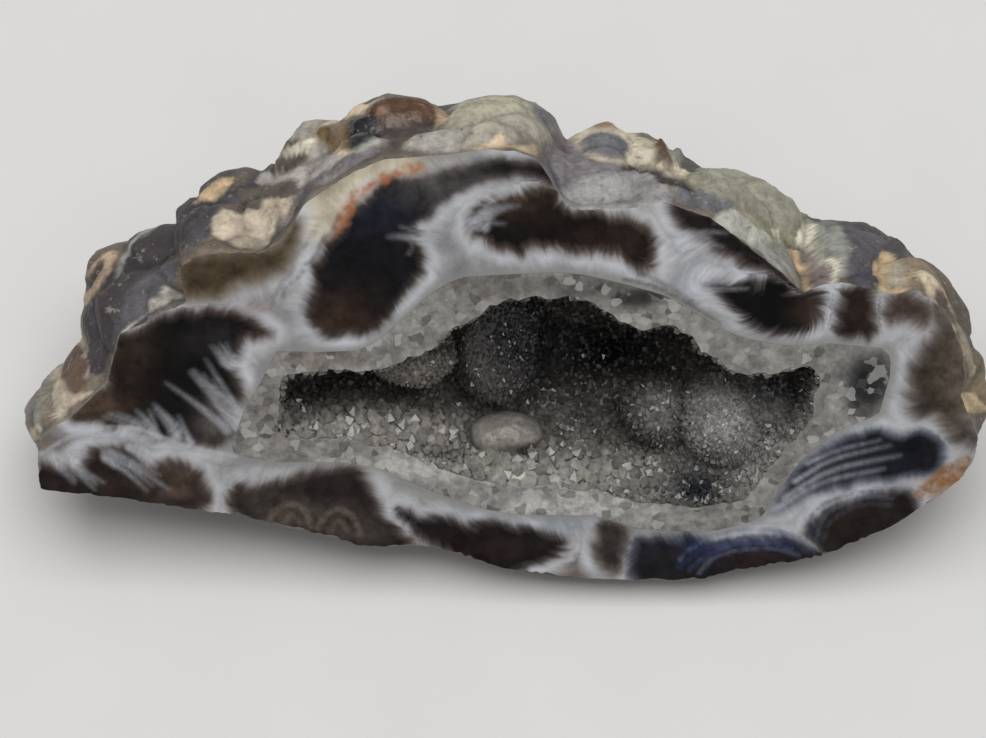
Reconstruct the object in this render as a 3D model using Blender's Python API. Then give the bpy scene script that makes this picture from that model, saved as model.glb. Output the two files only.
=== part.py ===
"""Half of a small agate geode, sawn through and polished, leaning back on its natural rind.

The stone is drawn face up: x runs along the sawn face, y across it towards the domed top of the
nodule, and z out of the face, so the stone itself lies at z < 0. An empty on the sawn face then
tilts it back to the way it rests. Lengths in the tables are millimetres.
"""

import math

import bmesh
import bpy
import numpy as np
from mathutils import Matrix, Vector

MM = 0.001
OBJECT_NAME = "agate_geode"
# Small enough not to show, in place of a length of nought
TINY = 1e-6

# How the half lies: its face looks this far above the horizontal
FACE_TILT = math.radians(37.0)
# Where the middle of the sawn face stands above and beside the middle of the footprint
FACE_CENTRE = Vector((-1.1, -7.4, 22.3)) * MM

# The nodule, measured from a point on its sawn face
STONE_CENTRE = (0.0, -1.0)
STONE_HALF_SIZES = (46.0, 23.0, 26.0)
# The share of a body's half length that its spine takes up
SPINE_SHARE = 0.6

# The outline of the sawn face, from the left corner over the top, with the lobes that the saw cut through
FACE_TOP = [
    (-44.3, -13.4), (-44.3, -10.0), (-44.0, -8.0), (-42.5, -6.3), (-41.0, -5.5), (-38.5, -3.0),
    (-37.0, -1.5), (-36.5, 0.5), (-35.5, 3.8), (-33.0, 5.0), (-31.0, 6.3), (-29.0, 7.2),
    (-29.5, 9.3), (-29.3, 11.0), (-28.0, 12.0), (-25.5, 12.4), (-21.5, 12.4), (-20.2, 13.5),
    (-19.0, 15.0), (-17.5, 17.5), (-15.0, 19.3), (-13.0, 20.7), (-10.0, 22.0), (-4.0, 22.5),
    (-1.0, 23.0), (2.0, 22.9), (4.0, 22.0), (5.0, 20.5), (5.8, 19.0), (6.8, 17.3), (8.0, 16.9),
    (13.0, 17.0), (16.0, 17.8), (17.5, 17.0), (20.0, 16.2), (21.0, 15.5), (24.0, 13.0),
    (27.0, 10.5), (29.3, 8.2), (31.0, 9.0), (33.0, 9.3), (36.0, 8.5), (38.0, 8.0), (40.0, 8.5),
    (42.0, 7.0), (43.5, 5.0), (44.8, 2.0), (45.3, -1.0), (45.0, -3.0), (46.0, -5.0), (47.0, -7.5),
]
# The same outline back along the broken lower edge, from right to left
FACE_BOTTOM = [
    (46.8, -10.0), (45.6, -12.3), (43.4, -14.4), (41.0, -16.2), (38.8, -17.8), (35.8, -19.3),
    (33.0, -20.8), (30.0, -21.6), (26.4, -22.2), (23.0, -23.0), (20.5, -23.7), (14.6, -23.8),
    (10.6, -23.6), (6.6, -23.4), (3.7, -22.8), (0.7, -22.3), (-1.3, -21.6), (-3.8, -20.6),
    (-5.7, -19.9), (-8.2, -19.7), (-10.7, -19.9), (-13.6, -19.7), (-16.1, -18.7), (-19.0, -17.9),
    (-21.9, -17.3), (-24.8, -16.3), (-27.8, -15.9), (-31.2, -15.3), (-34.6, -14.7), (-38.4, -14.1),
    (-42.3, -13.6),
]

# How square the section is from face to back, by the angle round the face in degrees: 2 is an
# ellipse, more is squarer, and less is the lean underside that lifts the lower edge off the table
SECTION_POWER = {0: 2.2, 45: 2.9, 90: 3.1, 135: 2.9, 170: 2.3, 195: 1.8, 235: 1.5, 305: 1.5, 340: 1.8}

# Broad swellings of the rind: the middle, the reach in x, y and z, and the rise. The last two are the
# knobs that the stone rests on
SWELLINGS = [
    ((-36.0, 3.5, -12.0), (13.0, 10.0, 11.0), 4.6),
    ((-43.0, -4.5, -8.0), (8.0, 8.0, 8.0), 3.4),
    ((-21.5, 15.0, -12.0), (9.0, 9.0, 9.0), 2.8),
    ((9.5, 18.0, -9.5), (8.0, 8.0, 8.0), 2.6),
    ((28.5, 11.0, -11.0), (8.0, 8.0, 8.0), 1.6),
    ((46.0, -3.5, -6.0), (7.0, 9.0, 7.0), 2.4),
    ((-16.0, -9.0, -22.0), (9.0, 9.0, 8.0), 5.0),
    ((17.0, -9.0, -22.0), (9.0, 9.0, 8.0), 5.0),
]

# More is a softer foot to each swelling
SWELLING_SOFTNESS = 1.5

# The lobes of the rind that show above the face: the middle, the reach along the rim, the reach
# towards the back, the turn of the lobe's length from x in degrees, and the rise
RIND_LOBES = [
    ((-40.5, -4.5, -5.0), 7.0, 4.5, 55, 1.6),
    ((-38.0, 2.0, -9.0), 7.0, 4.5, 60, 2.0),
    ((-32.5, 9.0, -12.5), 7.5, 4.5, 50, 2.0),
    ((-34.5, 4.5, -4.0), 5.0, 4.5, 35, 1.8),
    ((-42.5, -7.0, -12.0), 7.0, 5.5, 70, 1.8),
    ((-41.5, 0.5, -8.0), 5.0, 5.0, 60, 2.0),
    ((-27.5, 10.0, -6.0), 6.0, 4.0, 20, 1.8),
    ((-25.5, 13.0, -13.0), 6.0, 4.5, 30, 1.7),
    ((-20.5, 15.0, -5.5), 4.6, 4.0, 40, 1.8),
    ((-18.0, 18.5, -12.5), 5.5, 4.5, 35, 1.8),
    ((-11.0, 21.5, -11.0), 6.5, 4.6, 8, 2.2),
    ((-14.0, 20.0, -4.0), 5.0, 3.0, 30, 1.0),
    ((-3.0, 23.0, -2.6), 6.0, 2.6, 0, 1.2),
    ((0.5, 23.0, -6.5), 6.5, 3.4, 0, 1.5),
    ((2.0, 22.5, -11.5), 7.0, 4.2, 0, 1.0),
    ((9.5, 18.0, -4.5), 4.8, 3.8, 0, 1.5),
    ((10.5, 20.0, -10.5), 4.0, 3.6, 0, 1.8),
    ((15.0, 18.0, -9.0), 3.4, 3.2, -20, 1.5),
    ((17.0, 17.5, -3.5), 4.5, 3.0, -20, 1.0),
    ((22.5, 15.5, -5.0), 6.5, 4.6, -35, 2.0),
    ((26.0, 13.0, -10.5), 7.5, 5.0, -30, 2.0),
    ((33.0, 10.0, -5.5), 4.5, 4.4, -10, 1.7),
    ((36.5, 8.0, -10.0), 4.5, 4.4, -25, 0.8),
    ((40.5, 7.5, -4.0), 4.2, 3.6, -35, 1.3),
    ((43.5, 3.5, -8.0), 5.0, 4.5, -60, 1.6),
    ((46.0, -3.5, -4.0), 3.6, 3.2, -80, 1.3),
    ((46.0, -8.5, -8.0), 5.0, 4.5, -100, 1.6),
]

# The hidden back and underside carry lobes of the same kind. Their directions from the stone's middle
# keep this far below the face, and stay clear of the top, except right at the back
HIDDEN_LOBES = 46
HIDDEN_LEAST_DEPTH = 0.15
HIDDEN_MOST_UP = 0.35
HIDDEN_BACK = 0.75
HIDDEN_TRIES = 3 * HIDDEN_LOBES
HIDDEN_LOBE_SLIMMEST = 0.7
HIDDEN_LOBE_REACH = (4.5, 8.5)
HIDDEN_LOBE_RISE = (1.0, 2.2)
HIDDEN_LOBE_SEED = 11
# 1 is a round lobe, less is one with a fuller brim
LOBE_ROUNDNESS = 0.9
# Nothing swells within this depth of the sawn face, whose outline is the drawn one
RIM_DEPTH = 2.5

# The hollow, measured from a point in its mouth
HOLLOW_CENTRE = (7.0, -4.0)
HOLLOW_HALF_SIZES = (31.7, 14.2, 17.0)
HOLLOW_POWER = 2.4
# The saw's outline of the agate round the quartz lining
HOLLOW_OUTLINE = [
    (-20.5, 2.0), (-17.0, 1.8), (-13.0, 2.0), (-11.0, 3.0), (-9.0, 5.0), (-6.5, 7.5), (-5.0, 8.8),
    (-3.0, 9.8), (0.0, 10.0), (5.0, 10.3), (8.0, 10.2), (12.0, 9.2), (16.0, 8.0), (18.0, 6.9),
    (20.0, 5.5), (22.0, 4.2), (24.0, 3.3), (28.0, 2.5), (32.0, 2.8), (37.5, 2.2), (38.0, 1.0),
    (38.0, -1.0), (37.2, -5.0), (35.0, -6.0), (33.0, -7.0), (31.5, -8.5), (30.0, -10.0),
    (28.5, -12.5), (27.0, -15.5), (26.0, -16.8), (22.0, -18.0), (20.0, -18.2), (14.0, -17.8),
    (10.0, -16.3), (2.0, -16.2), (-1.0, -15.5), (-5.0, -14.0), (-9.0, -12.0), (-11.0, -11.0),
    (-15.0, -10.2), (-21.0, -10.3), (-25.0, -9.5), (-25.5, -8.7), (-24.0, -4.5), (-22.3, -1.5),
    (-21.0, 1.2),
]
# The open mouth, inside the lining
MOUTH_OUTLINE = [
    (-19.6, -0.6), (-15.0, 0.2), (-11.0, 0.0), (-8.0, 1.5), (-6.0, 2.2), (-3.5, 5.0), (-1.4, 6.2),
    (1.0, 7.8), (4.0, 8.0), (8.0, 7.9), (10.0, 6.8), (12.5, 5.2), (14.0, 4.6), (17.5, 5.0),
    (19.5, 3.2), (23.0, 0.2), (26.0, -0.1), (30.0, 0.4), (31.5, -0.5), (31.2, -3.5), (30.0, -6.6),
    (28.3, -9.2), (26.4, -12.2), (25.0, -14.2), (22.0, -15.2), (19.5, -15.4), (14.0, -15.0),
    (10.0, -13.7), (2.0, -13.4), (-2.0, -12.4), (-6.0, -10.8), (-10.0, -9.0), (-15.0, -7.9),
    (-20.0, -7.8), (-21.6, -6.8), (-20.6, -3.0),
]
MOUTH_DEPTH = 13.2
LINING_GAP = 0.35
LINING_LEAST = 1.6
# How far the cutters stand out in front of the sawn face. The druse's cutter has a flat cap, whose rim
# lies at this height on its unit sphere
CUTTER_HEIGHT = 4.0
CUTTER_CAP = 1.5
CUTTER_RIM = 0.15

# What stands into the hollow, all of it crystal-covered: the middle and the reach in x, y and z
INNER_LUMPS = {
    "curtain": ((0.4, 0.0, -7.5), (3.9, 7.5, 3.0)),
    "hanging_lobe": ((-8.0, -0.9, -4.6), (4.2, 2.8, 3.0)),
    "left_sill": ((-13.0, -10.5, -4.0), (10.0, 3.4, 4.2)),
    "middle_sill": ((3.0, -15.0, -4.5), (10.0, 3.6, 4.4)),
    "right_sill": ((12.0, -15.6, -4.0), (7.0, 3.4, 3.6)),
    "rounded_knob": ((2.2, -10.6, -6.8), (3.4, 2.6, 2.8)),
    "big_dome": ((23.0, -9.5, -8.0), (4.4, 4.6, 4.2)),
    "ringed_lump": ((16.0, -9.0, -8.5), (3.0, 3.0, 3.0)),
    "right_pier": ((27.5, -6.5, -8.0), (3.4, 4.4, 4.0)),
}

AGATE_COLOUR = (0.16, 0.14, 0.14)
AGATE_ROUGHNESS = 0.25
AGATE_CREASE_ANGLE = math.radians(40.0)
QUARTZ_COLOUR = (0.32, 0.31, 0.29)
QUARTZ_ROUGHNESS = 0.2

CRYSTAL_SEED = 5
CRYSTAL_SHIFT = 0.3
CRYSTAL_HEIGHT = (0.5, 1.4)
# Each edge of a coarse sphere is cut this many times to cover the surface
RIND_CUTS = 8
DRUSE_CUTS = 4


def outline_reach(points, origins, headings):
    """How far each heading runs from its own origin inside a closed outline."""
    starts = np.array(points)
    sides = np.roll(starts, -1, axis=0) - starts
    to_starts = starts[None] - origins[:, None, :2]
    turn = np.cross(headings[:, None], sides[None])
    turn = np.where(np.abs(turn) < TINY, TINY, turn)
    reach = np.cross(to_starts, sides[None]) / turn
    place_on_side = np.cross(to_starts, headings[:, None]) / turn
    meets = (place_on_side >= 0) & (place_on_side <= 1) & (reach > 0)
    return np.where(meets, reach, np.inf).min(axis=1)


def spine_rays(directions, centre, half_sizes):
    """Rays through an evenly covered ellipsoid, which start along a spine instead of one point, so
    that they meet a long body's surface squarely."""
    origins = np.zeros_like(directions)
    origins[:, 0] = centre[0] + directions[:, 0] * half_sizes[0] * SPINE_SHARE
    origins[:, 1] = centre[1]
    rays = directions * ((1 - SPINE_SHARE) * half_sizes[0], half_sizes[1], half_sizes[2])
    return origins, rays / np.linalg.norm(rays, axis=1)[:, None]


def section_length(origins, rays, outline, depth, power):
    """The length of each ray inside a body with the outline at z = 0 and a round back."""
    along_face = np.maximum(np.hypot(rays[:, 0], rays[:, 1]), TINY)
    headings = rays[:, :2] / along_face[:, None]
    reach = outline_reach(outline, origins, headings)
    return ((along_face / reach) ** power + (np.abs(rays[:, 2]) / depth) ** power) ** (-1 / power)


def inside_share(points, middle, reach, turn=0.0):
    """1 in the middle of an ellipsoid, falling to 0 at its surface and beyond."""
    offset = points - np.array(middle)
    along = offset[:, 0] * math.cos(turn) + offset[:, 1] * math.sin(turn)
    across = offset[:, 1] * math.cos(turn) - offset[:, 0] * math.sin(turn)
    squares = (along / reach[0]) ** 2 + (across / reach[1]) ** 2 + (offset[:, 2] / reach[2]) ** 2
    return np.clip(1 - squares, 0, 1)


def below_rim(points):
    return np.clip(-points[:, 2] / RIM_DEPTH, 0, 1)


def smooth_stone(directions):
    """The nodule before its lobes: the origin, the ray and the length for each direction."""
    origins, rays = spine_rays(directions, STONE_CENTRE, STONE_HALF_SIZES)
    angle = np.degrees(np.arctan2(rays[:, 1], rays[:, 0]))
    power = np.interp(angle, list(SECTION_POWER), list(SECTION_POWER.values()), period=360)
    length = section_length(origins, rays, FACE_TOP + FACE_BOTTOM, STONE_HALF_SIZES[2], power)
    for middle, reach, rise in SWELLINGS:
        points = origins + rays * length[:, None]
        share = inside_share(points, middle, reach) ** SWELLING_SOFTNESS
        length = length + rise * share * below_rim(points)
    return origins, rays, length


def hidden_lobes():
    """Seeded lobes over the back and the underside, where the face's side doesn't show them."""
    rng = np.random.default_rng(HIDDEN_LOBE_SEED)
    directions = rng.normal(size=(HIDDEN_TRIES, 3))
    directions[:, 2] = -np.abs(directions[:, 2]) - HIDDEN_LEAST_DEPTH
    directions /= np.linalg.norm(directions, axis=1)[:, None]
    is_hidden = (directions[:, 1] < HIDDEN_MOST_UP) | (directions[:, 2] < -HIDDEN_BACK)
    hidden = directions[is_hidden][:HIDDEN_LOBES]
    origins, rays, length = smooth_stone(hidden)
    for middle in origins + rays * length[:, None]:
        along = rng.uniform(*HIDDEN_LOBE_REACH)
        deep = along * rng.uniform(HIDDEN_LOBE_SLIMMEST, 1.0)
        yield middle, along, deep, rng.uniform(0, 180), rng.uniform(*HIDDEN_LOBE_RISE)


def rind_points(directions):
    """The surface of the stone: each point stands on the lobe that rises highest there."""
    origins, rays, length = smooth_stone(directions)
    points = origins + rays * length[:, None]
    rise = np.zeros(len(rays))
    for middle, along, deep, turn, height in [*RIND_LOBES, *hidden_lobes()]:
        share = inside_share(points, middle, (along, max(along, deep), deep), math.radians(turn))
        rise = np.maximum(rise, height * share**LOBE_ROUNDNESS)
    return origins + rays * (length + rise * below_rim(points))[:, None]


def depth_for(rays, depth):
    """The depth towards the back, or how far a cutter stands out in front of the face."""
    return np.where(rays[:, 2] > 0, CUTTER_HEIGHT, depth)


def hollow_rays(directions):
    """The room that the lining fills: the origin, the ray and the length for each direction."""
    origins, rays = spine_rays(directions, HOLLOW_CENTRE, HOLLOW_HALF_SIZES)
    depth = depth_for(rays, HOLLOW_HALF_SIZES[2])
    return origins, rays, section_length(origins, rays, HOLLOW_OUTLINE, depth, HOLLOW_POWER)


def hollow_points(directions):
    origins, rays, length = hollow_rays(directions)
    return origins + rays * length[:, None]


def lining_points(directions):
    """The back of the quartz lining, just inside the agate's hollow."""
    origins, rays, length = hollow_rays(directions)
    return origins + rays * (length - LINING_GAP)[:, None]


def entry_length(origins, rays, middle, reach):
    """How far along each ray an ellipsoid begins, or infinity where the ray misses it."""
    scaled_rays = rays / reach
    scaled_middles = (np.array(middle) - origins) / reach
    towards = (scaled_rays * scaled_middles).sum(axis=1)
    ray_square = (scaled_rays**2).sum(axis=1)
    left = towards**2 - ray_square * ((scaled_middles**2).sum(axis=1) - 1)
    meets = (left > 0) & (towards > 0)
    return np.where(meets, (towards - np.sqrt(np.maximum(left, 0))) / ray_square, np.inf)


def druse_points(directions, crystal_heights):
    """The open hollow, less the crystals that stand into it."""
    origins, rays, whole_length = hollow_rays(directions)
    depth = depth_for(rays, MOUTH_DEPTH)
    length = section_length(origins, rays, MOUTH_OUTLINE, depth, HOLLOW_POWER)
    for middle, reach in INNER_LUMPS.values():
        length = np.minimum(length, entry_length(origins, rays, middle, reach))
    length = np.minimum(length, whole_length - LINING_GAP - LINING_LEAST)
    return origins + rays * (length - crystal_heights)[:, None]


def shape(bm, surface):
    """Puts a unit sphere's vertices on a surface, which is a function of their directions."""
    directions = np.array([vertex.co for vertex in bm.verts])
    directions /= np.linalg.norm(directions, axis=1)[:, None]
    for vertex, point in zip(bm.verts, surface(directions)):
        vertex.co = Vector(point)


def fine_sphere(bm, cuts):
    """A sphere of even small triangles, finer in smaller steps than whole subdivisions give."""
    bmesh.ops.create_icosphere(bm, subdivisions=2, radius=1.0)
    bmesh.ops.subdivide_edges(bm, edges=bm.edges[:], cuts=cuts, use_grid_fill=True)


def cut_at_face(bm, height=0.0):
    """Everything in front of a level of a unit sphere goes, and the cut is closed."""
    everything = bm.verts[:] + bm.edges[:] + bm.faces[:]
    level = Vector((0, 0, height))
    cut = bmesh.ops.bisect_plane(
        bm, geom=everything, dist=TINY, plane_co=level, plane_no=(0, 0, 1), clear_outer=True
    )
    rim = [edge for edge in cut["geom_cut"] if isinstance(edge, bmesh.types.BMEdge)]
    for edge in rim:
        for vertex in edge.verts:
            vertex.co.z = height
    bmesh.ops.contextual_create(bm, geom=rim)


def rest_flat(bm, to_world):
    """The knobs that the stone rests on are worn flat where they meet the table."""
    to_local = to_world.inverted()
    table = to_local.translation / MM
    normal = to_local.to_3x3() @ Vector((0, 0, 1))
    everything = bm.verts[:] + bm.edges[:] + bm.faces[:]
    bmesh.ops.bisect_plane(
        bm, geom=everything, dist=TINY, plane_co=table, plane_no=normal, clear_inner=True
    )
    bmesh.ops.holes_fill(bm, edges=[edge for edge in bm.edges if edge.is_boundary], sides=0)


def new_object(name, bm, collection, parent):
    bmesh.ops.recalc_face_normals(bm, faces=bm.faces)
    bm.transform(Matrix.Scale(MM, 4))
    mesh = bpy.data.meshes.new(name)
    bm.to_mesh(mesh)
    bm.free()
    part = bpy.data.objects.new(name, mesh)
    part.parent = parent
    collection.objects.link(part)
    return part


def principled(name, colour, roughness):
    material = bpy.data.materials.new(name)
    material.use_nodes = True
    shader = material.node_tree.nodes["Principled BSDF"]
    shader.inputs["Base Color"].default_value = (*colour, 1.0)
    shader.inputs["Roughness"].default_value = roughness
    shader.inputs["Metallic"].default_value = 0.0
    return material


def cut_away(part, cutter, name):
    boolean = part.modifiers.new(name, "BOOLEAN")
    boolean.operation = "DIFFERENCE"
    boolean.solver = "EXACT"
    boolean.object = cutter


def as_cutter(cutter):
    cutter.hide_render = True
    cutter.display_type = "WIRE"
    return cutter


def make_shell(parts, cutters, plane):
    """The agate itself: the lobed rind, the sawn face and the hollow."""
    bm = bmesh.new()
    fine_sphere(bm, RIND_CUTS)
    cut_at_face(bm)
    shape(bm, rind_points)
    rest_flat(bm, plane.matrix_world)
    shell = new_object("agate_shell", bm, parts, plane)
    shell.data.materials.append(principled("agate", AGATE_COLOUR, AGATE_ROUGHNESS))
    shell.data.shade_smooth()
    shell.data.set_sharp_from_angle(angle=AGATE_CREASE_ANGLE)
    cut_away(shell, make_hollow_cutter(cutters, plane), "hollow")
    return shell


def make_hollow_cutter(cutters, plane):
    """The room that the quartz lining fills, with its gap."""
    bm = bmesh.new()
    bmesh.ops.create_icosphere(bm, subdivisions=4, radius=1.0)
    shape(bm, hollow_points)
    return as_cutter(new_object("hollow_cutter", bm, cutters, plane))


def make_lining(parts, cutters, plane):
    """The quartz lining: one crust whose inner side is all crystal points."""
    bm = bmesh.new()
    bmesh.ops.create_icosphere(bm, subdivisions=4, radius=1.0)
    cut_at_face(bm)
    shape(bm, lining_points)
    lining = new_object("quartz_crust", bm, parts, plane)
    lining.data.materials.append(principled("quartz", QUARTZ_COLOUR, QUARTZ_ROUGHNESS))
    cut_away(lining, make_druse_cutter(cutters, plane), "druse")
    return lining


def make_druse_cutter(cutters, plane):
    """The open hollow, each of whose small faces is dented by one three-sided crystal point."""
    rng = np.random.default_rng(CRYSTAL_SEED)
    bm = bmesh.new()
    fine_sphere(bm, DRUSE_CUTS)
    least_side = min(edge.calc_length() for edge in bm.edges)
    for vertex in bm.verts:
        vertex.co += Vector(rng.uniform(-1, 1, 3)) * CRYSTAL_SHIFT * least_side
    cut_at_face(bm, CUTTER_RIM)
    feet = [face for face in bm.faces if face.calc_center_median().z < 0]
    tips = bmesh.ops.poke(bm, faces=feet)["verts"]
    bm.verts.index_update()
    heights = np.zeros(len(bm.verts))
    heights[[tip.index for tip in tips]] = rng.uniform(*CRYSTAL_HEIGHT, len(tips))
    shape(bm, lambda directions: druse_points(directions, heights))
    cap = max(bm.faces, key=lambda face: len(face.verts))
    for vertex in cap.verts:
        vertex.co.z = CUTTER_CAP
    return as_cutter(new_object("druse_cutter", bm, cutters, plane))


def main():
    for leftover in list(bpy.data.objects):
        bpy.data.objects.remove(leftover, do_unlink=True)
    parts = bpy.data.collections.new(OBJECT_NAME)
    cutters = bpy.data.collections.new("cutters")
    for collection in (parts, cutters):
        bpy.context.scene.collection.children.link(collection)
    plane = bpy.data.objects.new("sawn_plane", None)
    plane.rotation_euler.x = math.pi / 2 - FACE_TILT
    plane.location = FACE_CENTRE
    parts.objects.link(plane)
    bpy.context.view_layer.update()
    make_shell(parts, cutters, plane)
    make_lining(parts, cutters, plane)


main()
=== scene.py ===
"""The looks of half an agate geode: its painted stone and crystals, a pale floor and soft light.

The stone and its hollow follow the same named sizes as the solid model, on a finer mesh. Local
coordinates are millimetres with x along the sawn face, y across it and z out of it, so the stone
is at z < 0. Outlines in photo pixels belong to a frame of 986 by 738.
"""

import math
from itertools import product

import bmesh
import bpy
import numpy as np
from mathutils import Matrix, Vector
from mathutils.geometry import delaunay_2d_cdt


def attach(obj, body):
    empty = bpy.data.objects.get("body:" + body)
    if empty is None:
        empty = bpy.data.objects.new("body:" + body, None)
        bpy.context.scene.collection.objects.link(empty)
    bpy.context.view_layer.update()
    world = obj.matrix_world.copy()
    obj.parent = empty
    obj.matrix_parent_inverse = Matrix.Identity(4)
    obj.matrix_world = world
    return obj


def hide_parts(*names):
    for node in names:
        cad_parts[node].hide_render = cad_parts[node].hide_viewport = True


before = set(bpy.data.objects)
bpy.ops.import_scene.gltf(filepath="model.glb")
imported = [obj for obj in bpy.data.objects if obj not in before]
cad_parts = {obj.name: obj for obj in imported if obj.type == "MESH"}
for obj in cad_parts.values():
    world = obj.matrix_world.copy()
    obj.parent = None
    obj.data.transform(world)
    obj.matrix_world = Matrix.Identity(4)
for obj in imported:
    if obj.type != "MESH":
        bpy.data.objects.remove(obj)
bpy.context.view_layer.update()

MM = 0.001
TINY = 1e-6

# The sizes that the solid model also has
FACE_TILT = math.radians(37.0)
FACE_CENTRE = Vector((-1.1, -7.4, 22.3)) * MM
STONE_CENTRE = (0.0, -1.0)
STONE_HALF_SIZES = (46.0, 23.0, 26.0)
SPINE_SHARE = 0.6
FACE_TOP = [
    (-44.3, -13.4), (-44.3, -10.0), (-44.0, -8.0), (-42.5, -6.3), (-41.0, -5.5), (-38.5, -3.0),
    (-37.0, -1.5), (-36.5, 0.5), (-35.5, 3.8), (-33.0, 5.0), (-31.0, 6.3), (-29.0, 7.2),
    (-29.5, 9.3), (-29.3, 11.0), (-28.0, 12.0), (-25.5, 12.4), (-21.5, 12.4), (-20.2, 13.5),
    (-19.0, 15.0), (-17.5, 17.5), (-15.0, 19.3), (-13.0, 20.7), (-10.0, 22.0), (-4.0, 22.5),
    (-1.0, 23.0), (2.0, 22.9), (4.0, 22.0), (5.0, 20.5), (5.8, 19.0), (6.8, 17.3), (8.0, 16.9),
    (13.0, 17.0), (16.0, 17.8), (17.5, 17.0), (20.0, 16.2), (21.0, 15.5), (24.0, 13.0),
    (27.0, 10.5), (29.3, 8.2), (31.0, 9.0), (33.0, 9.3), (36.0, 8.5), (38.0, 8.0), (40.0, 8.5),
    (42.0, 7.0), (43.5, 5.0), (44.8, 2.0), (45.3, -1.0), (45.0, -3.0), (46.0, -5.0), (47.0, -7.5),
]
FACE_BOTTOM = [
    (46.8, -10.0), (45.6, -12.3), (43.4, -14.4), (41.0, -16.2), (38.8, -17.8), (35.8, -19.3),
    (33.0, -20.8), (30.0, -21.6), (26.4, -22.2), (23.0, -23.0), (20.5, -23.7), (14.6, -23.8),
    (10.6, -23.6), (6.6, -23.4), (3.7, -22.8), (0.7, -22.3), (-1.3, -21.6), (-3.8, -20.6),
    (-5.7, -19.9), (-8.2, -19.7), (-10.7, -19.9), (-13.6, -19.7), (-16.1, -18.7), (-19.0, -17.9),
    (-21.9, -17.3), (-24.8, -16.3), (-27.8, -15.9), (-31.2, -15.3), (-34.6, -14.7), (-38.4, -14.1),
    (-42.3, -13.6),
]
SECTION_POWER = {0: 2.2, 45: 2.9, 90: 3.1, 135: 2.9, 170: 2.3, 195: 1.8, 235: 1.5, 305: 1.5, 340: 1.8}
SWELLINGS = [
    ((-36.0, 3.5, -12.0), (13.0, 10.0, 11.0), 4.6),
    ((-43.0, -4.5, -8.0), (8.0, 8.0, 8.0), 3.4),
    ((-21.5, 15.0, -12.0), (9.0, 9.0, 9.0), 2.8),
    ((9.5, 18.0, -9.5), (8.0, 8.0, 8.0), 2.6),
    ((28.5, 11.0, -11.0), (8.0, 8.0, 8.0), 1.6),
    ((46.0, -3.5, -6.0), (7.0, 9.0, 7.0), 2.4),
    ((-16.0, -9.0, -22.0), (9.0, 9.0, 8.0), 5.0),
    ((17.0, -9.0, -22.0), (9.0, 9.0, 8.0), 5.0),
]
SWELLING_SOFTNESS = 1.5
# Each visible lobe of the rind, and the colour of the agate on it
RIND_LOBES = [
    ((-40.5, -4.5, -5.0), 7.0, 4.5, 55, 1.6, (128, 118, 104)),
    ((-38.0, 2.0, -9.0), 7.0, 4.5, 60, 2.0, (66, 58, 62)),
    ((-32.5, 9.0, -12.5), 7.5, 4.5, 50, 2.0, (74, 67, 68)),
    ((-34.5, 4.5, -4.0), 5.0, 4.5, 35, 1.8, (82, 79, 82)),
    ((-42.5, -7.0, -12.0), 7.0, 5.5, 70, 1.8, (150, 144, 130)),
    ((-41.5, 0.5, -8.0), 5.0, 5.0, 60, 2.0, (120, 112, 100)),
    ((-27.5, 10.0, -6.0), 6.0, 4.0, 20, 1.8, (122, 110, 96)),
    ((-25.5, 13.0, -13.0), 6.0, 4.5, 30, 1.7, (72, 69, 70)),
    ((-20.5, 15.0, -5.5), 4.6, 4.0, 40, 1.8, (124, 115, 110)),
    ((-18.0, 18.5, -12.5), 5.5, 4.5, 35, 1.8, (160, 154, 142)),
    ((-11.0, 21.5, -11.0), 6.5, 4.6, 8, 2.2, (120, 112, 98)),
    ((-14.0, 20.0, -4.0), 5.0, 3.0, 30, 1.0, (180, 178, 170)),
    ((-3.0, 23.0, -2.6), 6.0, 2.6, 0, 1.2, (160, 156, 148)),
    ((0.5, 23.0, -6.5), 6.5, 3.4, 0, 1.5, (158, 154, 140)),
    ((2.0, 22.5, -11.5), 7.0, 4.2, 0, 1.0, (160, 158, 144)),
    ((9.5, 18.0, -4.5), 4.8, 3.8, 0, 1.5, (132, 127, 128)),
    ((10.5, 20.0, -10.5), 4.0, 3.6, 0, 1.8, (168, 160, 142)),
    ((15.0, 18.0, -9.0), 3.4, 3.2, -20, 1.5, (156, 145, 124)),
    ((17.0, 17.5, -3.5), 4.5, 3.0, -20, 1.0, (134, 128, 118)),
    ((22.5, 15.5, -5.0), 6.5, 4.6, -35, 2.0, (152, 148, 126)),
    ((26.0, 13.0, -10.5), 7.5, 5.0, -30, 2.0, (154, 151, 130)),
    ((33.0, 10.0, -5.5), 4.5, 4.4, -10, 1.7, (158, 158, 146)),
    ((36.5, 8.0, -10.0), 4.5, 4.4, -25, 0.8, (78, 74, 78)),
    ((40.5, 7.5, -4.0), 4.2, 3.6, -35, 1.3, (134, 118, 100)),
    ((43.5, 3.5, -8.0), 5.0, 4.5, -60, 1.6, (98, 86, 74)),
    ((46.0, -3.5, -4.0), 3.6, 3.2, -80, 1.3, (128, 112, 92)),
    ((46.0, -8.5, -8.0), 5.0, 4.5, -100, 1.6, (118, 98, 74)),
]
HIDDEN_LOBES = 46
HIDDEN_LEAST_DEPTH = 0.15
HIDDEN_MOST_UP = 0.35
HIDDEN_BACK = 0.75
HIDDEN_TRIES = 3 * HIDDEN_LOBES
HIDDEN_LOBE_SLIMMEST = 0.7
HIDDEN_LOBE_REACH = (4.5, 8.5)
HIDDEN_LOBE_RISE = (1.0, 2.2)
HIDDEN_LOBE_SEED = 11
LOBE_ROUNDNESS = 0.9
RIM_DEPTH = 2.5
HOLLOW_CENTRE = (7.0, -4.0)
HOLLOW_HALF_SIZES = (31.7, 14.2, 17.0)
HOLLOW_POWER = 2.4
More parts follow.
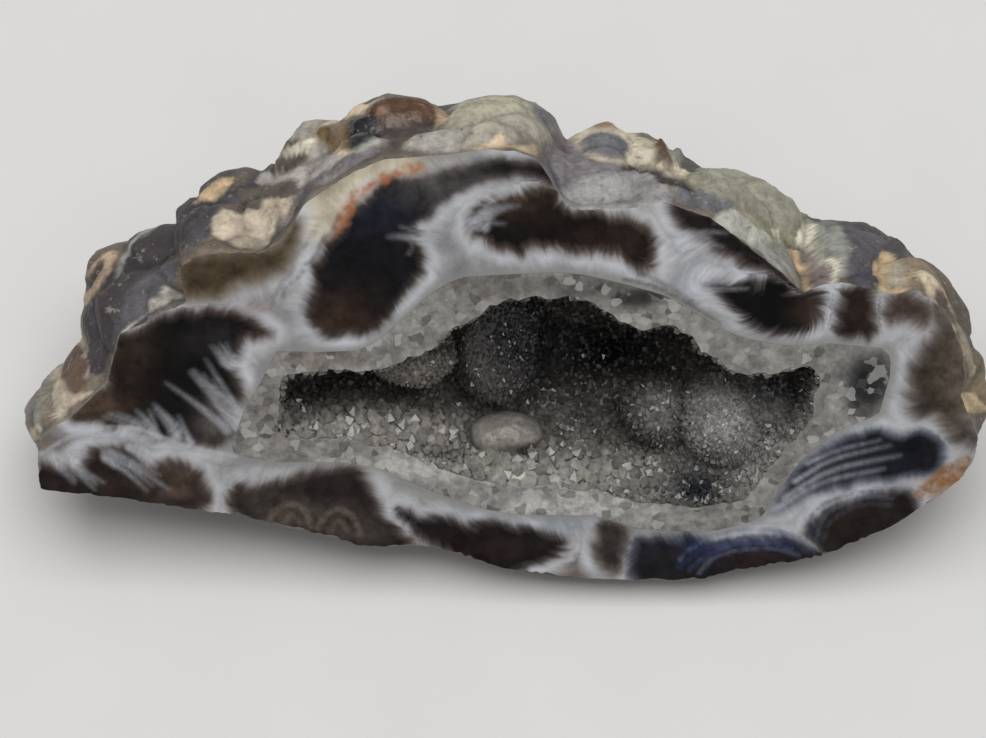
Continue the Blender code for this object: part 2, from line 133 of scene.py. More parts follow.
HOLLOW_OUTLINE = [
    (-20.5, 2.0), (-17.0, 1.8), (-13.0, 2.0), (-11.0, 3.0), (-9.0, 5.0), (-6.5, 7.5), (-5.0, 8.8),
    (-3.0, 9.8), (0.0, 10.0), (5.0, 10.3), (8.0, 10.2), (12.0, 9.2), (16.0, 8.0), (18.0, 6.9),
    (20.0, 5.5), (22.0, 4.2), (24.0, 3.3), (28.0, 2.5), (32.0, 2.8), (37.5, 2.2), (38.0, 1.0),
    (38.0, -1.0), (37.2, -5.0), (35.0, -6.0), (33.0, -7.0), (31.5, -8.5), (30.0, -10.0),
    (28.5, -12.5), (27.0, -15.5), (26.0, -16.8), (22.0, -18.0), (20.0, -18.2), (14.0, -17.8),
    (10.0, -16.3), (2.0, -16.2), (-1.0, -15.5), (-5.0, -14.0), (-9.0, -12.0), (-11.0, -11.0),
    (-15.0, -10.2), (-21.0, -10.3), (-25.0, -9.5), (-25.5, -8.7), (-24.0, -4.5), (-22.3, -1.5),
    (-21.0, 1.2),
]
MOUTH_DEPTH = 13.2
LINING_GAP = 0.35
LINING_LEAST = 1.6
INNER_LUMPS = {
    "curtain": ((0.4, 0.0, -7.5), (3.9, 7.5, 3.0)),
    "hanging_lobe": ((-8.0, -0.9, -4.6), (4.2, 2.8, 3.0)),
    "left_sill": ((-13.0, -10.5, -4.0), (10.0, 3.4, 4.2)),
    "middle_sill": ((3.0, -15.0, -4.5), (10.0, 3.6, 4.4)),
    "right_sill": ((12.0, -15.6, -4.0), (7.0, 3.4, 3.6)),
    "rounded_knob": ((1.3, -11.1, -6.8), (3.4, 2.1, 2.5)),
    "big_dome": ((23.0, -9.5, -8.0), (4.4, 4.6, 4.2)),
    "ringed_lump": ((16.0, -9.0, -8.5), (3.0, 3.0, 3.0)),
    "right_pier": ((27.5, -6.5, -8.0), (3.4, 4.4, 4.0)),
}
# The mouth's edge, with the scallops of the sawn crystals
MOUTH_EDGE = [
    (-20.5, -0.8), (-19.0, -0.4), (-17.0, -0.1), (-15.0, 0.2), (-13.0, -0.1), (-11.0, 0.0),
    (-9.5, 0.6), (-8.0, 1.5), (-6.8, 1.7), (-6.0, 2.4), (-5.0, 3.0), (-4.5, 3.9), (-3.6, 4.6),
    (-2.6, 4.9), (-1.8, 5.8), (-0.8, 6.4), (0.0, 7.2), (1.2, 7.7), (2.6, 7.5), (4.0, 8.0),
    (5.5, 7.6), (7.0, 8.0), (8.3, 7.5), (9.3, 7.4), (10.2, 6.6), (11.3, 6.1), (12.0, 5.4),
    (13.2, 5.0), (14.2, 4.4), (15.5, 4.6), (16.5, 5.2), (17.6, 4.8), (18.4, 4.0), (19.6, 3.2),
    (20.2, 2.0), (21.3, 1.3), (22.2, 0.8), (22.8, 0.0), (24.2, -0.4), (25.6, -0.2), (26.8, -0.5),
    (28.4, -0.1), (30.0, 0.4), (31.2, 0.3), (31.8, -0.6), (31.4, -2.0), (31.3, -3.6), (30.9, -5.2),
    (30.1, -6.6), (29.4, -8.0), (28.4, -9.2), (27.3, -10.6), (26.4, -12.2), (25.6, -13.4),
    (25.0, -14.4), (23.6, -15.0), (22.0, -15.3), (19.5, -15.5), (16.5, -15.2), (14.0, -15.0),
    (12.0, -14.3), (10.0, -13.7), (6.0, -13.4), (2.0, -13.4), (-2.0, -12.4), (-6.0, -10.8),
    (-10.0, -9.0), (-15.0, -7.9), (-20.0, -7.8), (-21.6, -6.8), (-21.2, -5.0), (-20.6, -3.0),
]

# The photo's camera
PHOTO_SIZE = (986, 738)
CAMERA_ABOVE_FACE_NORMAL = math.radians(28.0)
CAMERA_DISTANCE = 0.3
FOCAL_PIXELS = 3134.8
SENSOR_WIDTH = 36.0

# Mesh fineness
RIND_CUTS = 56
WALL_CUTS = 11
DRUSE_CUTS = 26
FACE_STEP = 0.29
CRUST_STEP = 0.42
GRID_SHIFT = 0.12
GRID_CLEARANCE = 0.55

BLACK = (14, 12, 13)
SMOKE = (112, 102, 98)
PALE = (164, 164, 166)

# The dark pods of the sawn face: how long the white feathers are that reach into them, how soft the
# edge is, how the feathers lean, the colours of the pod's middle and of its edge, and the outline
PODS = {
    "left": (0.6, 0.9, 0.5, BLACK, (88, 76, 70), [
        (-36.3, 3.2), (-34.0, 4.3), (-31.6, 5.4), (-29.0, 6.1), (-26.0, 6.4), (-24.0, 6.0), (-21.6, 3.7),
        (-23.6, 3.2), (-24.6, 1.5), (-25.0, 0.0), (-24.3, -2.0), (-24.6, -4.0), (-25.2, -6.2),
        (-26.0, -8.0), (-28.0, -8.4), (-29.5, -8.0), (-31.5, -7.4), (-34.0, -6.8), (-38.0, -5.9),
        (-40.6, -5.2), (-39.0, -3.0), (-37.2, -1.5), (-36.8, 1.0)]),
    "left dome": (0.3, 1.3, 0.2, (82, 68, 50), (136, 124, 108), [
        (-29.6, 7.4), (-30.0, 11.0), (-28.0, 12.6), (-21.2, 13.2), (-18.3, 16.0), (-17.9, 14.0),
        (-18.6, 11.6), (-20.4, 9.9), (-23.0, 9.0), (-26.0, 7.6)]),
    "lower left": (0.6, 0.8, -0.4, (38, 31, 30), (96, 84, 78), [
        (-45.0, -10.8), (-43.0, -10.6), (-41.0, -11.3), (-40.0, -11.0), (-39.3, -9.6), (-37.5, -8.7),
        (-35.5, -8.6), (-34.6, -9.8), (-33.6, -10.8), (-31.6, -10.2), (-29.6, -10.6), (-28.6, -12.2),
        (-28.0, -15.5), (-36.0, -15.6), (-45.0, -14.8)]),
    "bottom left": (0.6, 0.8, 0.8, (44, 37, 36), (100, 90, 84), [
        (-25.3, -13.4), (-23.0, -12.9), (-20.0, -12.2), (-17.5, -11.4), (-15.0, -10.9), (-13.4, -11.1),
        (-12.3, -12.5), (-11.5, -14.5), (-10.6, -16.6), (-9.3, -18.2), (-7.6, -19.6), (-9.0, -21.0),
        (-16.0, -20.0), (-25.0, -17.0)]),
    "bottom middle": (0.7, 0.7, -0.8, (30, 24, 25), (92, 84, 84), [
        (-9.2, -15.7), (-7.5, -16.9), (-5.0, -16.5), (-2.5, -17.4), (0.0, -17.1), (3.0, -18.0),
        (5.0, -18.4), (7.2, -19.3), (6.2, -20.6), (4.0, -21.7), (1.0, -23.0), (-2.0, -22.0),
        (-5.0, -20.2), (-7.4, -18.4)]),
    "bottom small": (0.5, 0.8, 0.9, (66, 58, 54), (112, 104, 98), [
        (10.5, -17.2), (12.0, -16.9), (13.2, -18.3), (13.0, -20.5), (12.4, -22.6), (11.4, -22.8),
        (10.2, -20.6)]),
    "bottom right": (0.7, 0.9, -0.6, (32, 27, 32), (96, 98, 108), [
        (14.0, -18.9), (16.0, -18.6), (20.0, -18.9), (23.0, -19.4), (27.0, -19.0), (30.0, -19.2),
        (31.4, -19.8), (33.5, -21.8), (28.0, -23.5), (20.0, -25.0), (14.5, -24.6), (13.4, -21.0)]),
    "right corner": (0.4, 0.6, 0.3, (40, 33, 30), (98, 96, 96), [
        (31.0, -18.0), (32.0, -16.5), (34.0, -15.2), (36.5, -14.4), (39.0, -13.8), (40.8, -14.2),
        (41.6, -16.8), (39.0, -19.0), (34.0, -21.5), (32.0, -19.8)]),
    "right blue": (0.35, 0.7, 0.0, (26, 27, 34), (110, 114, 126), [
        (29.2, -11.7), (31.0, -9.8), (33.0, -8.3), (35.0, -7.3), (37.0, -6.7), (39.0, -7.2), (41.5, -7.0),
        (43.3, -8.0), (43.8, -9.6), (43.2, -11.2), (40.0, -11.9), (36.0, -12.4), (33.0, -13.1),
        (30.0, -14.2), (27.6, -15.9), (28.4, -13.6)]),
    "right small": (0.8, 0.7, 0.5, (52, 40, 36), (104, 96, 92), [
        (33.0, 8.4), (34.5, 8.7), (35.7, 8.0), (36.2, 5.8), (35.9, 3.7), (34.4, 3.3), (33.1, 3.8),
        (32.8, 6.0)]),
    "right brown spot": (0.7, 0.9, 0.5, (82, 66, 58), (120, 112, 108), [
        (37.4, 7.9), (39.0, 8.3), (41.0, 7.4), (42.2, 6.0), (41.0, 4.7), (39.0, 5.2), (37.8, 4.3),
        (37.0, 6.0)]),
    "right edge": (0.9, 1.5, 0.5, (74, 64, 56), (118, 112, 108), [
        (42.0, 7.6), (44.6, 4.6), (46.2, 0.0), (46.2, -4.0), (47.8, -8.0), (46.2, -9.0), (44.0, -7.6),
        (42.4, -5.6), (40.2, -4.8), (39.6, -2.6), (40.0, 0.0), (40.8, 2.4), (42.0, 4.0), (41.2, 6.2)]),
    "right": (1.3, 0.8, 0.9, BLACK, (96, 88, 86), [
        (20.3, 9.4), (22.0, 9.5), (24.0, 9.3), (26.0, 10.2), (28.5, 8.6), (30.0, 8.3), (31.4, 7.2),
        (31.2, 5.5), (30.0, 4.4), (28.0, 4.0), (25.6, 4.3), (23.6, 5.2), (22.4, 6.8), (21.4, 8.4)]),
    "right diagonal": (0.7, 0.8, 0.4, (34, 28, 28), (104, 94, 90), [
        (16.6, 17.8), (19.5, 16.8), (21.2, 15.9), (24.4, 13.2), (27.6, 10.6), (29.6, 8.4), (28.4, 8.4),
        (25.8, 10.2), (23.6, 11.4), (21.4, 12.6), (19.4, 14.2), (17.4, 15.8)]),
    "top": (0.9, 0.8, -0.4, BLACK, (96, 84, 76), [
        (-0.9, 17.2), (0.4, 18.2), (2.4, 18.8), (4.4, 19.4), (5.6, 18.6), (6.6, 17.0), (8.0, 16.5),
        (11.0, 16.1), (13.0, 15.6), (14.4, 14.2), (15.0, 12.2), (14.9, 10.6), (13.0, 11.2), (10.5, 12.1),
        (9.0, 12.7), (6.0, 12.6), (3.0, 12.7), (0.5, 13.0), (-1.3, 14.1), (-1.7, 15.8)]),
    "middle left": (0.6, 0.7, 0.4, (24, 22, 26), (80, 70, 64), [
        (-14.1, 14.6), (-13.0, 16.2), (-12.0, 17.6), (-11.0, 18.9), (-9.0, 19.6), (-7.0, 19.8),
        (-5.9, 18.8), (-6.3, 16.4), (-7.6, 15.0), (-7.0, 13.6), (-6.9, 11.6), (-7.6, 9.2), (-9.0, 7.4),
        (-10.0, 5.8), (-11.0, 4.7), (-12.4, 4.0), (-14.2, 3.8), (-15.8, 4.0), (-16.8, 5.0), (-17.2, 6.8),
        (-16.8, 9.0), (-16.2, 11.4), (-15.2, 13.2)]),
    "arch": (0.3, 0.6, 0.3, (34, 30, 32), (96, 88, 86), [
        (-6.6, 16.0), (-5.0, 17.6), (-3.0, 19.0), (-1.0, 20.0), (1.5, 20.4), (4.0, 20.3), (5.4, 19.4),
        (5.4, 21.0), (3.0, 21.6), (0.0, 21.6), (-3.0, 20.9), (-5.4, 20.0), (-8.0, 19.6), (-8.4, 17.6)]),
}
POD_MARGIN = 6.0
POD_GROWTH = 0.75
# Feathers, softness and lean where no pod is near
POD_FREE = (0.5, 0.8, 0.3)
# White strands that stand in the pods: three points, and the width at either end
STRANDS = [
    ((-24.4, -5.8), (-26.2, -3.4), (-28.7, -0.4), 1.3, 0.35),
    ((-30.6, -7.4), (-31.2, -5.8), (-32.6, -3.9), 0.55, 0.15),
    ((-32.6, -7.4), (-33.2, -6.0), (-34.3, -4.6), 0.5, 0.15),
    ((-29.3, -8.2), (-29.8, -6.8), (-30.3, -5.2), 0.3, 0.1),
    ((-25.0, 0.6), (-25.6, 1.0), (-26.4, 2.2), 0.8, 0.2),
    ((-36.0, -6.9), (-34.2, -6.2), (-37.0, -4.9), 0.5, 0.1),
    ((-41.2, -9.4), (-40.6, -10.6), (-38.8, -12.6), 0.9, 0.2),
    ((-42.6, -9.6), (-42.2, -10.8), (-40.8, -12.2), 0.6, 0.15),
    ((-37.2, -9.6), (-35.4, -10.4), (-33.0, -11.9), 0.95, 0.15),
    ((-35.2, -8.6), (-34.2, -9.4), (-32.9, -10.7), 0.5, 0.15),
    ((-6.6, 13.6), (-7.8, 14.0), (-9.6, 14.0), 0.5, 0.1),
    ((-1.5, 15.4), (-0.4, 16.6), (1.9, 17.2), 0.9, 0.15),
    ((20.0, 9.9), (22.4, 9.8), (25.6, 10.0), 0.8, 0.2),
    ((16.6, 12.4), (18.4, 14.0), (20.2, 13.9), 1.2, 0.3),
    ((28.6, -14.3), (33.0, -11.2), (39.5, -9.5), 0.3, 0.1),
    ((29.5, -12.4), (33.0, -10.0), (38.5, -8.4), 0.2, 0.06),
    ((27.6, -15.6), (32.0, -12.6), (38.0, -11.0), 0.32, 0.1),
    ((30.6, -10.4), (33.6, -8.9), (37.5, -7.8), 0.12, 0.04),
]
STRAND_REACH = 3.0
STRAND_WIDTH_SHARE = 0.8
STRAND_EDGE = (-0.42, 0.3)
STRAND_FADE = 0.6
# Wisps that fan out from the wider strands: how many, how wide the strand has to be, and their widths
WISPS = 4
WISP_SEED = 8
WISPS_FROM = 0.5
WISP_WIDTH_SHARE = 0.3
WISP_TIP = 0.03
WISP_SHIFT = 0.55
WISP_FAN = 0.7
WISP_STRETCH = (-0.3, 0.1)
WISP_BEND = 0.35
SPOT_FALL = 0.9
# Soft spots of colour in the pale agate, and in the dark: the middle, the reach, and the colour
PALE_SPOTS = [
    ((-22.3, 5.0), (1.3, 2.6), (138, 122, 118)),
    ((-17.0, 16.2), (3.0, 3.6), (200, 197, 186)),
    ((-12.0, 20.6), (4.6, 2.4), (205, 200, 186)),
    ((-5.0, 22.0), (4.0, 1.6), (176, 174, 164)),
    ((0.5, 22.3), (4.4, 1.4), (150, 148, 142)),
    ((11.0, 16.6), (4.6, 1.3), (186, 182, 182)),
    ((19.0, 9.0), (1.6, 2.0), (190, 192, 200)),
    ((-9.0, -13.4), (7.0, 1.6), (158, 158, 156)),
    ((4.0, -17.0), (8.0, 1.2), (146, 152, 160)),
    ((-37.0, -7.4), (7.0, 1.8), (160, 162, 168)),
    ((-43.4, -8.4), (2.4, 2.6), (126, 116, 108)),
    ((-29.0, -11.0), (3.4, 2.4), (160, 158, 158)),
    ((43.4, -12.4), (2.4, 2.0), (168, 122, 72)),
    ((8.0, -21.0), (2.4, 2.2), (110, 102, 98)),
    ((9.0, -23.2), (3.4, 0.9), (120, 112, 104)),
    ((38.5, -13.4), (5.0, 0.7), (150, 154, 164)),
    ((-19.0, 12.0), (1.2, 3.6), (150, 146, 146)),
]
DARK_SPOTS = [
    ((-38.6, -3.6), (3.4, 2.6), (92, 74, 60)),
    ((-34.4, 2.6), (2.4, 3.4), (56, 44, 36)),
    ((-26.4, -6.0), (1.9, 2.4), (112, 102, 98)),
    ((-26.6, 3.6), (3.0, 2.2), (42, 38, 40)),
    ((-10.5, 17.4), (4.4, 2.6), (38, 41, 54)),
    ((-14.6, 5.4), (3.4, 2.8), (64, 48, 38)),
    ((2.6, 17.6), (3.6, 2.0), (62, 48, 38)),
    ((10.5, 13.2), (4.4, 1.8), (56, 42, 36)),
    ((-5.0, 19.4), (4.0, 1.8), (92, 88, 88)),
    ((30.2, 6.4), (1.6, 1.8), (66, 52, 44)),
    ((22.0, -20.0), (5.6, 1.6), (42, 52, 88)),
    ((26.0, -21.3), (5.0, 1.6), (46, 34, 30)),
    ((17.0, -21.0), (2.6, 2.6), (34, 34, 38)),
    ((33.0, -11.0), (5.0, 2.6), (40, 43, 56)),
    ((-19.0, -15.6), (5.0, 2.4), (84, 75, 68)),
    ((-16.5, -13.4), (3.6, 1.4), (46, 39, 38)),
    ((-13.4, -17.8), (3.0, 1.4), (78, 70, 62)),
    ((-1.0, -20.0), (6.0, 1.6), (42, 30, 28)),
    ((-36.0, -12.6), (6.0, 1.6), (58, 46, 40)),
    ((-31.0, -12.6), (2.4, 2.0), (92, 76, 66)),
    ((44.6, 0.0), (2.0, 5.0), (112, 100, 88)),
]
# Lines thinner than this are drawn this wide but fainter
LINE_LEAST = 0.24
LINE_EDGE = 1.5
LINE_STRENGTH = 0.45
# Thin lines in the sawn face, where old layers were broken and healed: the route, width and colour
HEALED_LINES = [
    ([(-19.9, 7.6), (-19.4, 8.8), (-18.0, 10.2), (-17.7, 11.0), (-16.7, 12.0), (-16.0, 13.6), (-14.8, 15.0),
      (-14.4, 16.2)], 0.16, (96, 88, 88)),
    ([(-21.0, 6.6), (-20.4, 8.4), (-19.0, 10.4), (-18.8, 11.8), (-17.2, 13.6),
      (-16.4, 15.2)], 0.14, (120, 114, 114)),
    ([(12.4, 9.6), (15.0, 8.9), (17.4, 7.7), (19.4, 6.4), (21.4, 5.0)], 0.22, (70, 62, 60)),
    ([(14.0, 10.2), (16.4, 8.9), (18.8, 7.3)], 0.2, (86, 76, 72)),
    ([(-7.9, 13.9), (-7.6, 13.0), (-7.9, 12.2)], 0.12, (120, 112, 110)),
    ([(-44.0, -9.4), (-40.0, -7.0), (-35.0, -6.4), (-30.0, -8.4), (-25.0, -9.6)], 0.12, (196, 198, 202)),
]
# Bands in the pods at the bottom, in photo pixels, with the width in millimetres and the colour
POD_BANDS = [
    ([(680, 560), (690, 549), (711, 537), (741, 530), (772, 530), (800, 538)], 0.12, (96, 108, 140)),
    ([(680, 566), (699, 550), (730, 540), (762, 537), (793, 543), (808, 552)], 0.3, (42, 50, 80)),
    ([(690, 570), (706, 556), (735, 545), (765, 543), (792, 549)], 0.14, (70, 84, 128)),
    ([(699, 573), (715, 557), (741, 550), (772, 548), (798, 555)], 0.1, (104, 110, 130)),
    ([(817, 539), (822, 521), (840, 505), (866, 497), (892, 498)], 0.12, (92, 96, 112)),
    ([(811, 534), (812, 515), (829, 501), (856, 493), (880, 491)], 0.2, (44, 52, 84)),
    ([(824, 540), (828, 525), (845, 511), (868, 504), (890, 505)], 0.1, (76, 74, 84)),
    ([(270, 520), (277, 510), (291, 504), (305, 511), (311, 527)], 0.3, (116, 104, 94)),
    ([(283, 524), (291, 515), (300, 523)], 0.3, (104, 92, 84)),
    ([(318, 528), (325, 516), (338, 509), (352, 516), (360, 534)], 0.3, (112, 100, 90)),
    ([(330, 531), (339, 521), (348, 531)], 0.3, (100, 90, 82)),
]
# A stain's ragged edge: the height, size and seed of its noise, and how soft it is
STAIN_RAGGEDNESS = (0.35, 1.1, 70)
STAIN_EDGE = (-0.4, 0.3)
# Iron stains at the top left and in the right corner: the route, the widths along it and the colour
IRON_STAINS = [
    ([(-15.4, 13.6), (-14.2, 15.6), (-13.0, 17.8), (-11.2, 19.4), (-9.6, 20.3), (-7.0, 21.2)],
     (0.15, 0.45, 0.5, 0.5, 0.35, 0.6), (176, 110, 62)),
    ([(42.2, -13.8), (43.8, -12.2), (45.6, -10.4)], (0.7, 1.1, 0.8), (136, 92, 44)),
]
# The pale rim round the first stain: where it fades, in widths, and its route, width and colour
HALO_FADE = (1.8, 0.4)
IRON_HALO = ([(-16.6, 15.4), (-14.6, 18.0), (-12.0, 20.2), (-8.6, 21.6)], 1.5, (206, 196, 172))

